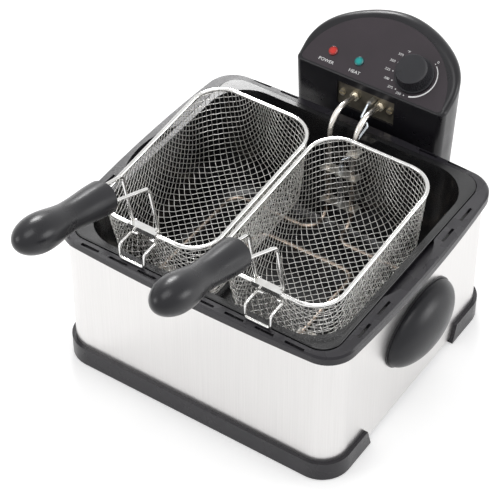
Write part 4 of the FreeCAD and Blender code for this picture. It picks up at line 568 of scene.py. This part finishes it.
def pressed(flat, hair=1e-12):
    """Where a point of the flat cloth comes to lie. On the floor it stays. Past the floor's
    edge, its distance from that edge is its length up the wall, and its way round the edge's
    parallel outline is drawn in to the tub's shorter outline. Measured from the corner's
    middle, a way w of W becomes w (c - (c - T / W) w / W), where T is the tub's length for W
    and c the root of the outlines' ratio, so that the walls give up more than the corners."""
    out = np.minimum(reach(flat), cloth_reach)
    x, y = np.abs(flat).T
    turn = np.arctan2(np.clip(y - foot_y, 0, None), np.clip(x - foot_x, 0, None) + hair)
    way = np.minimum(y, foot_y) + out * turn + foot_x - np.minimum(x, foot_x)
    middle, whole = foot_y + out * pi / 4, foot_y + out * pi / 2 + foot_x
    centre_x, centre_y, radius, height = level(np.clip(tub_end - out + foot_corner, None, tub_end))
    tub_middle, tub_whole = centre_y + radius * pi / 4, centre_y + radius * pi / 2 + centre_x
    near = way < middle
    share = np.abs(way - middle) / np.where(near, middle, whole - middle)
    drawn = np.where(near, tub_middle, tub_whole - tub_middle)
    ratio = np.sqrt(tub_whole / whole) * np.where(near, middle, whole - middle)
    moved = share * (ratio - (ratio - drawn) * share)
    way = tub_middle + np.where(near, -moved, moved)
    angle = np.clip((way - centre_y) / radius, 0, pi / 2)
    wall_x = centre_x + radius * np.cos(angle) - np.clip(way - centre_y - radius * pi / 2, 0, None)
    wall_y = centre_y + radius * np.sin(angle) - np.clip(centre_y - way, 0, None)
    floor = out <= foot_corner
    return np.stack([np.sign(flat[:, 0]) * np.where(floor, x, wall_x),
                     np.sign(flat[:, 1]) * np.where(floor, y, wall_y),
                     np.where(floor, floor_level, height)], -1)


def inward(flat, step=1e-4):
    """Unit normal of the pressed cloth, towards the basket's inside: its slope along the
    flat cloth's x crossed with its slope along y."""
    slopes = [pressed(flat + move) - pressed(flat - move) for move in ((step, 0), (0, step))]
    normal = np.cross(*slopes)
    return normal / np.linalg.norm(normal, axis=-1, keepdims=True)


def wire(path, out):
    """Four-sided wire with capped ends: its corners stand one radius from the path along
    out, along the path's direction crossed with out, and opposite both."""
    along = np.gradient(path, axis=0)
    across = np.cross(along, out)
    across /= np.linalg.norm(across, axis=1, keepdims=True)
    out = np.cross(across, along)
    out /= np.linalg.norm(out, axis=1, keepdims=True)
    return capped(path[:, None] + wire_radius * np.stack([out, across, -out, -across], 1))


def woven(number, direction):
    """One wire of the cloth: half-opening steps along a line at 45 degrees, over and under
    the wires that it crosses, cut off at the rim, where its last normal is its neighbour's."""
    turns = np.arange(-last_half_step, last_half_step + 1) / 2
    one, other = (number + 0 * turns, turns)[::direction]
    flat = cloth / np.sqrt(2) * np.stack([one - other, one + other], -1)
    inside = np.flatnonzero(reach(flat) < cloth_reach)
    if len(inside) < 3:
        return None
    kept = slice(inside[0] - 1, inside[-1] + 2)
    flat, turns = flat[kept], turns[kept]
    normal = inward(flat[1:-1])[[0, *range(len(inside)), -1]]
    over = direction * wire_radius * np.cos(pi * (turns + number))
    return wire(pressed(flat) + over[:, None] * normal, normal)


wires = [woven(number, direction) for number in range(-last_wire, last_wire + 1)
         for direction in (1, -1)]
wires = [made for made in wires if made]
starts = np.cumsum([0] + [len(points) for points, quads in wires[:-1]])
cloth_points = np.concatenate([points for points, quads in wires])
cloth_faces = np.concatenate([quads + start for (points, quads), start in zip(wires, starts)])
bright_cloth = finish("woven_wire", (0.84, 0.825, 0.8), metallic=1.0, roughness=0.32)
vary(bright_cloth, "Base Color", cloud(bright_cloth, size=0.01, detail=4.0),
     (0.76, 0.74, 0.71), (0.92, 0.91, 0.89))
vary(bright_cloth, "Roughness", cloud(bright_cloth, size=0.004), 0.26, 0.4)
for hand in ("left", "right"):
    low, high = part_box(hand + "_basket_rim")
    middle = (low + high) / 2
    weave = skinned(hand + "_weave", cloth_points, cloth_faces, crease=100)
    weave.transform(Matrix.Translation(middle) @ Matrix.Rotation(basket_pitch, 4, "X"))
    piece_of(hand + "_weave", weave, bright_cloth, hand + "_basket", "mesh_wire",
             hand + "_basket_mesh")


# --- table, lamps and camera ----------------------------------------------------
# A white table that keeps a soft shadow, four soft boxes and an even pale
# room; the camera looks down on the right front corner.

def seen(tree):
    """1 for camera, glossy and transmission rays, else 0."""
    ray = tree.nodes.new("ShaderNodeLightPath")
    value = ray.outputs["Is Camera Ray"]
    for other in ("Is Glossy Ray", "Is Transmission Ray"):
        larger = tree.nodes.new("ShaderNodeMath")
        larger.operation = "MAXIMUM"
        tree.links.new(value, larger.inputs[0])
        tree.links.new(ray.outputs[other], larger.inputs[1])
        value = larger.outputs[0]
    return value


table_half, table_glow = 4, 0.38           # the glow is seen, also in metal; it lights nothing
table = bpy.data.meshes.new("table")
table.from_pydata([(-table_half, -table_half, 0), (table_half, -table_half, 0),
                   (table_half, table_half, 0), (-table_half, table_half, 0)], [], [(0, 1, 2, 3)])
table_white = bpy.data.materials.new("table_white")
table_white.use_nodes = True
tree = table_white.node_tree
tree.nodes.clear()
paper = tree.nodes.new("ShaderNodeBsdfDiffuse")
paper.inputs["Color"].default_value = (0.85, 0.85, 0.85, 1)
glow = tree.nodes.new("ShaderNodeEmission")
lift = tree.nodes.new("ShaderNodeMath")
lift.operation = "MULTIPLY"
lift.inputs[1].default_value = table_glow
both = tree.nodes.new("ShaderNodeAddShader")
end = tree.nodes.new("ShaderNodeOutputMaterial")
tree.links.new(seen(tree), lift.inputs[0])
tree.links.new(lift.outputs[0], glow.inputs["Strength"])
tree.links.new(paper.outputs[0], both.inputs[0])
tree.links.new(glow.outputs[0], both.inputs[1])
tree.links.new(both.outputs[0], end.inputs["Surface"])
table.materials.append(table_white)
floor = bpy.data.objects.new("table", table)
bpy.context.scene.collection.objects.link(floor)

room_light, room_seen = 0.5, 0.85
room = bpy.data.worlds.new("room")
bpy.context.scene.world = room
room.use_nodes = True
tree = room.node_tree
air = tree.nodes["Background"]
air.inputs["Color"].default_value = (1, 1, 1, 1)
strength = tree.nodes.new("ShaderNodeMapRange")
strength.inputs["To Min"].default_value = room_light
strength.inputs["To Max"].default_value = room_seen
tree.links.new(seen(tree), strength.inputs["Value"])
tree.links.new(strength.outputs["Result"], air.inputs["Strength"])

lamp_aim = Vector((0, 0, 0.15))
for name, place, power, size in (("rear", (-1.97, 2.69, 2.1), 55, 1.0),
                                 ("top", (0.3, -0.1, 2.5), 14, 1.3),
                                 ("front", (-1.6, -1.8, 1.6), 15, 1.2),
                                 ("side", (1.9, 1.2, 0.75), 10, 0.9)):
    lamp = bpy.data.lights.new(name, "AREA")
    lamp.energy = power
    lamp.size = size
    holder = bpy.data.objects.new(name, lamp)
    bpy.context.scene.collection.objects.link(holder)
    holder.location = place
    holder.rotation_euler = (lamp_aim - Vector(place)).to_track_quat("-Z", "Y").to_euler()

view_heading, view_tilt, view_roll = radians(33.916), radians(46.17), radians(-0.117)
view = bpy.data.cameras.new("view")
view.sensor_width = 36
view.lens = 145.94
view.shift_x = -0.0007
view.shift_y = 0.0004
camera = bpy.data.objects.new("view", view)
bpy.context.scene.collection.objects.link(camera)
camera.location = (0.8574, -1.2976, 1.6326)
camera.rotation_euler = (Matrix.Rotation(view_heading, 3, "Z") @ Matrix.Rotation(view_tilt, 3, "X")
                         @ Matrix.Rotation(view_roll, 3, "Z")).to_euler()
bpy.context.scene.camera = camera
bpy.context.scene.view_settings.view_transform = "Standard"
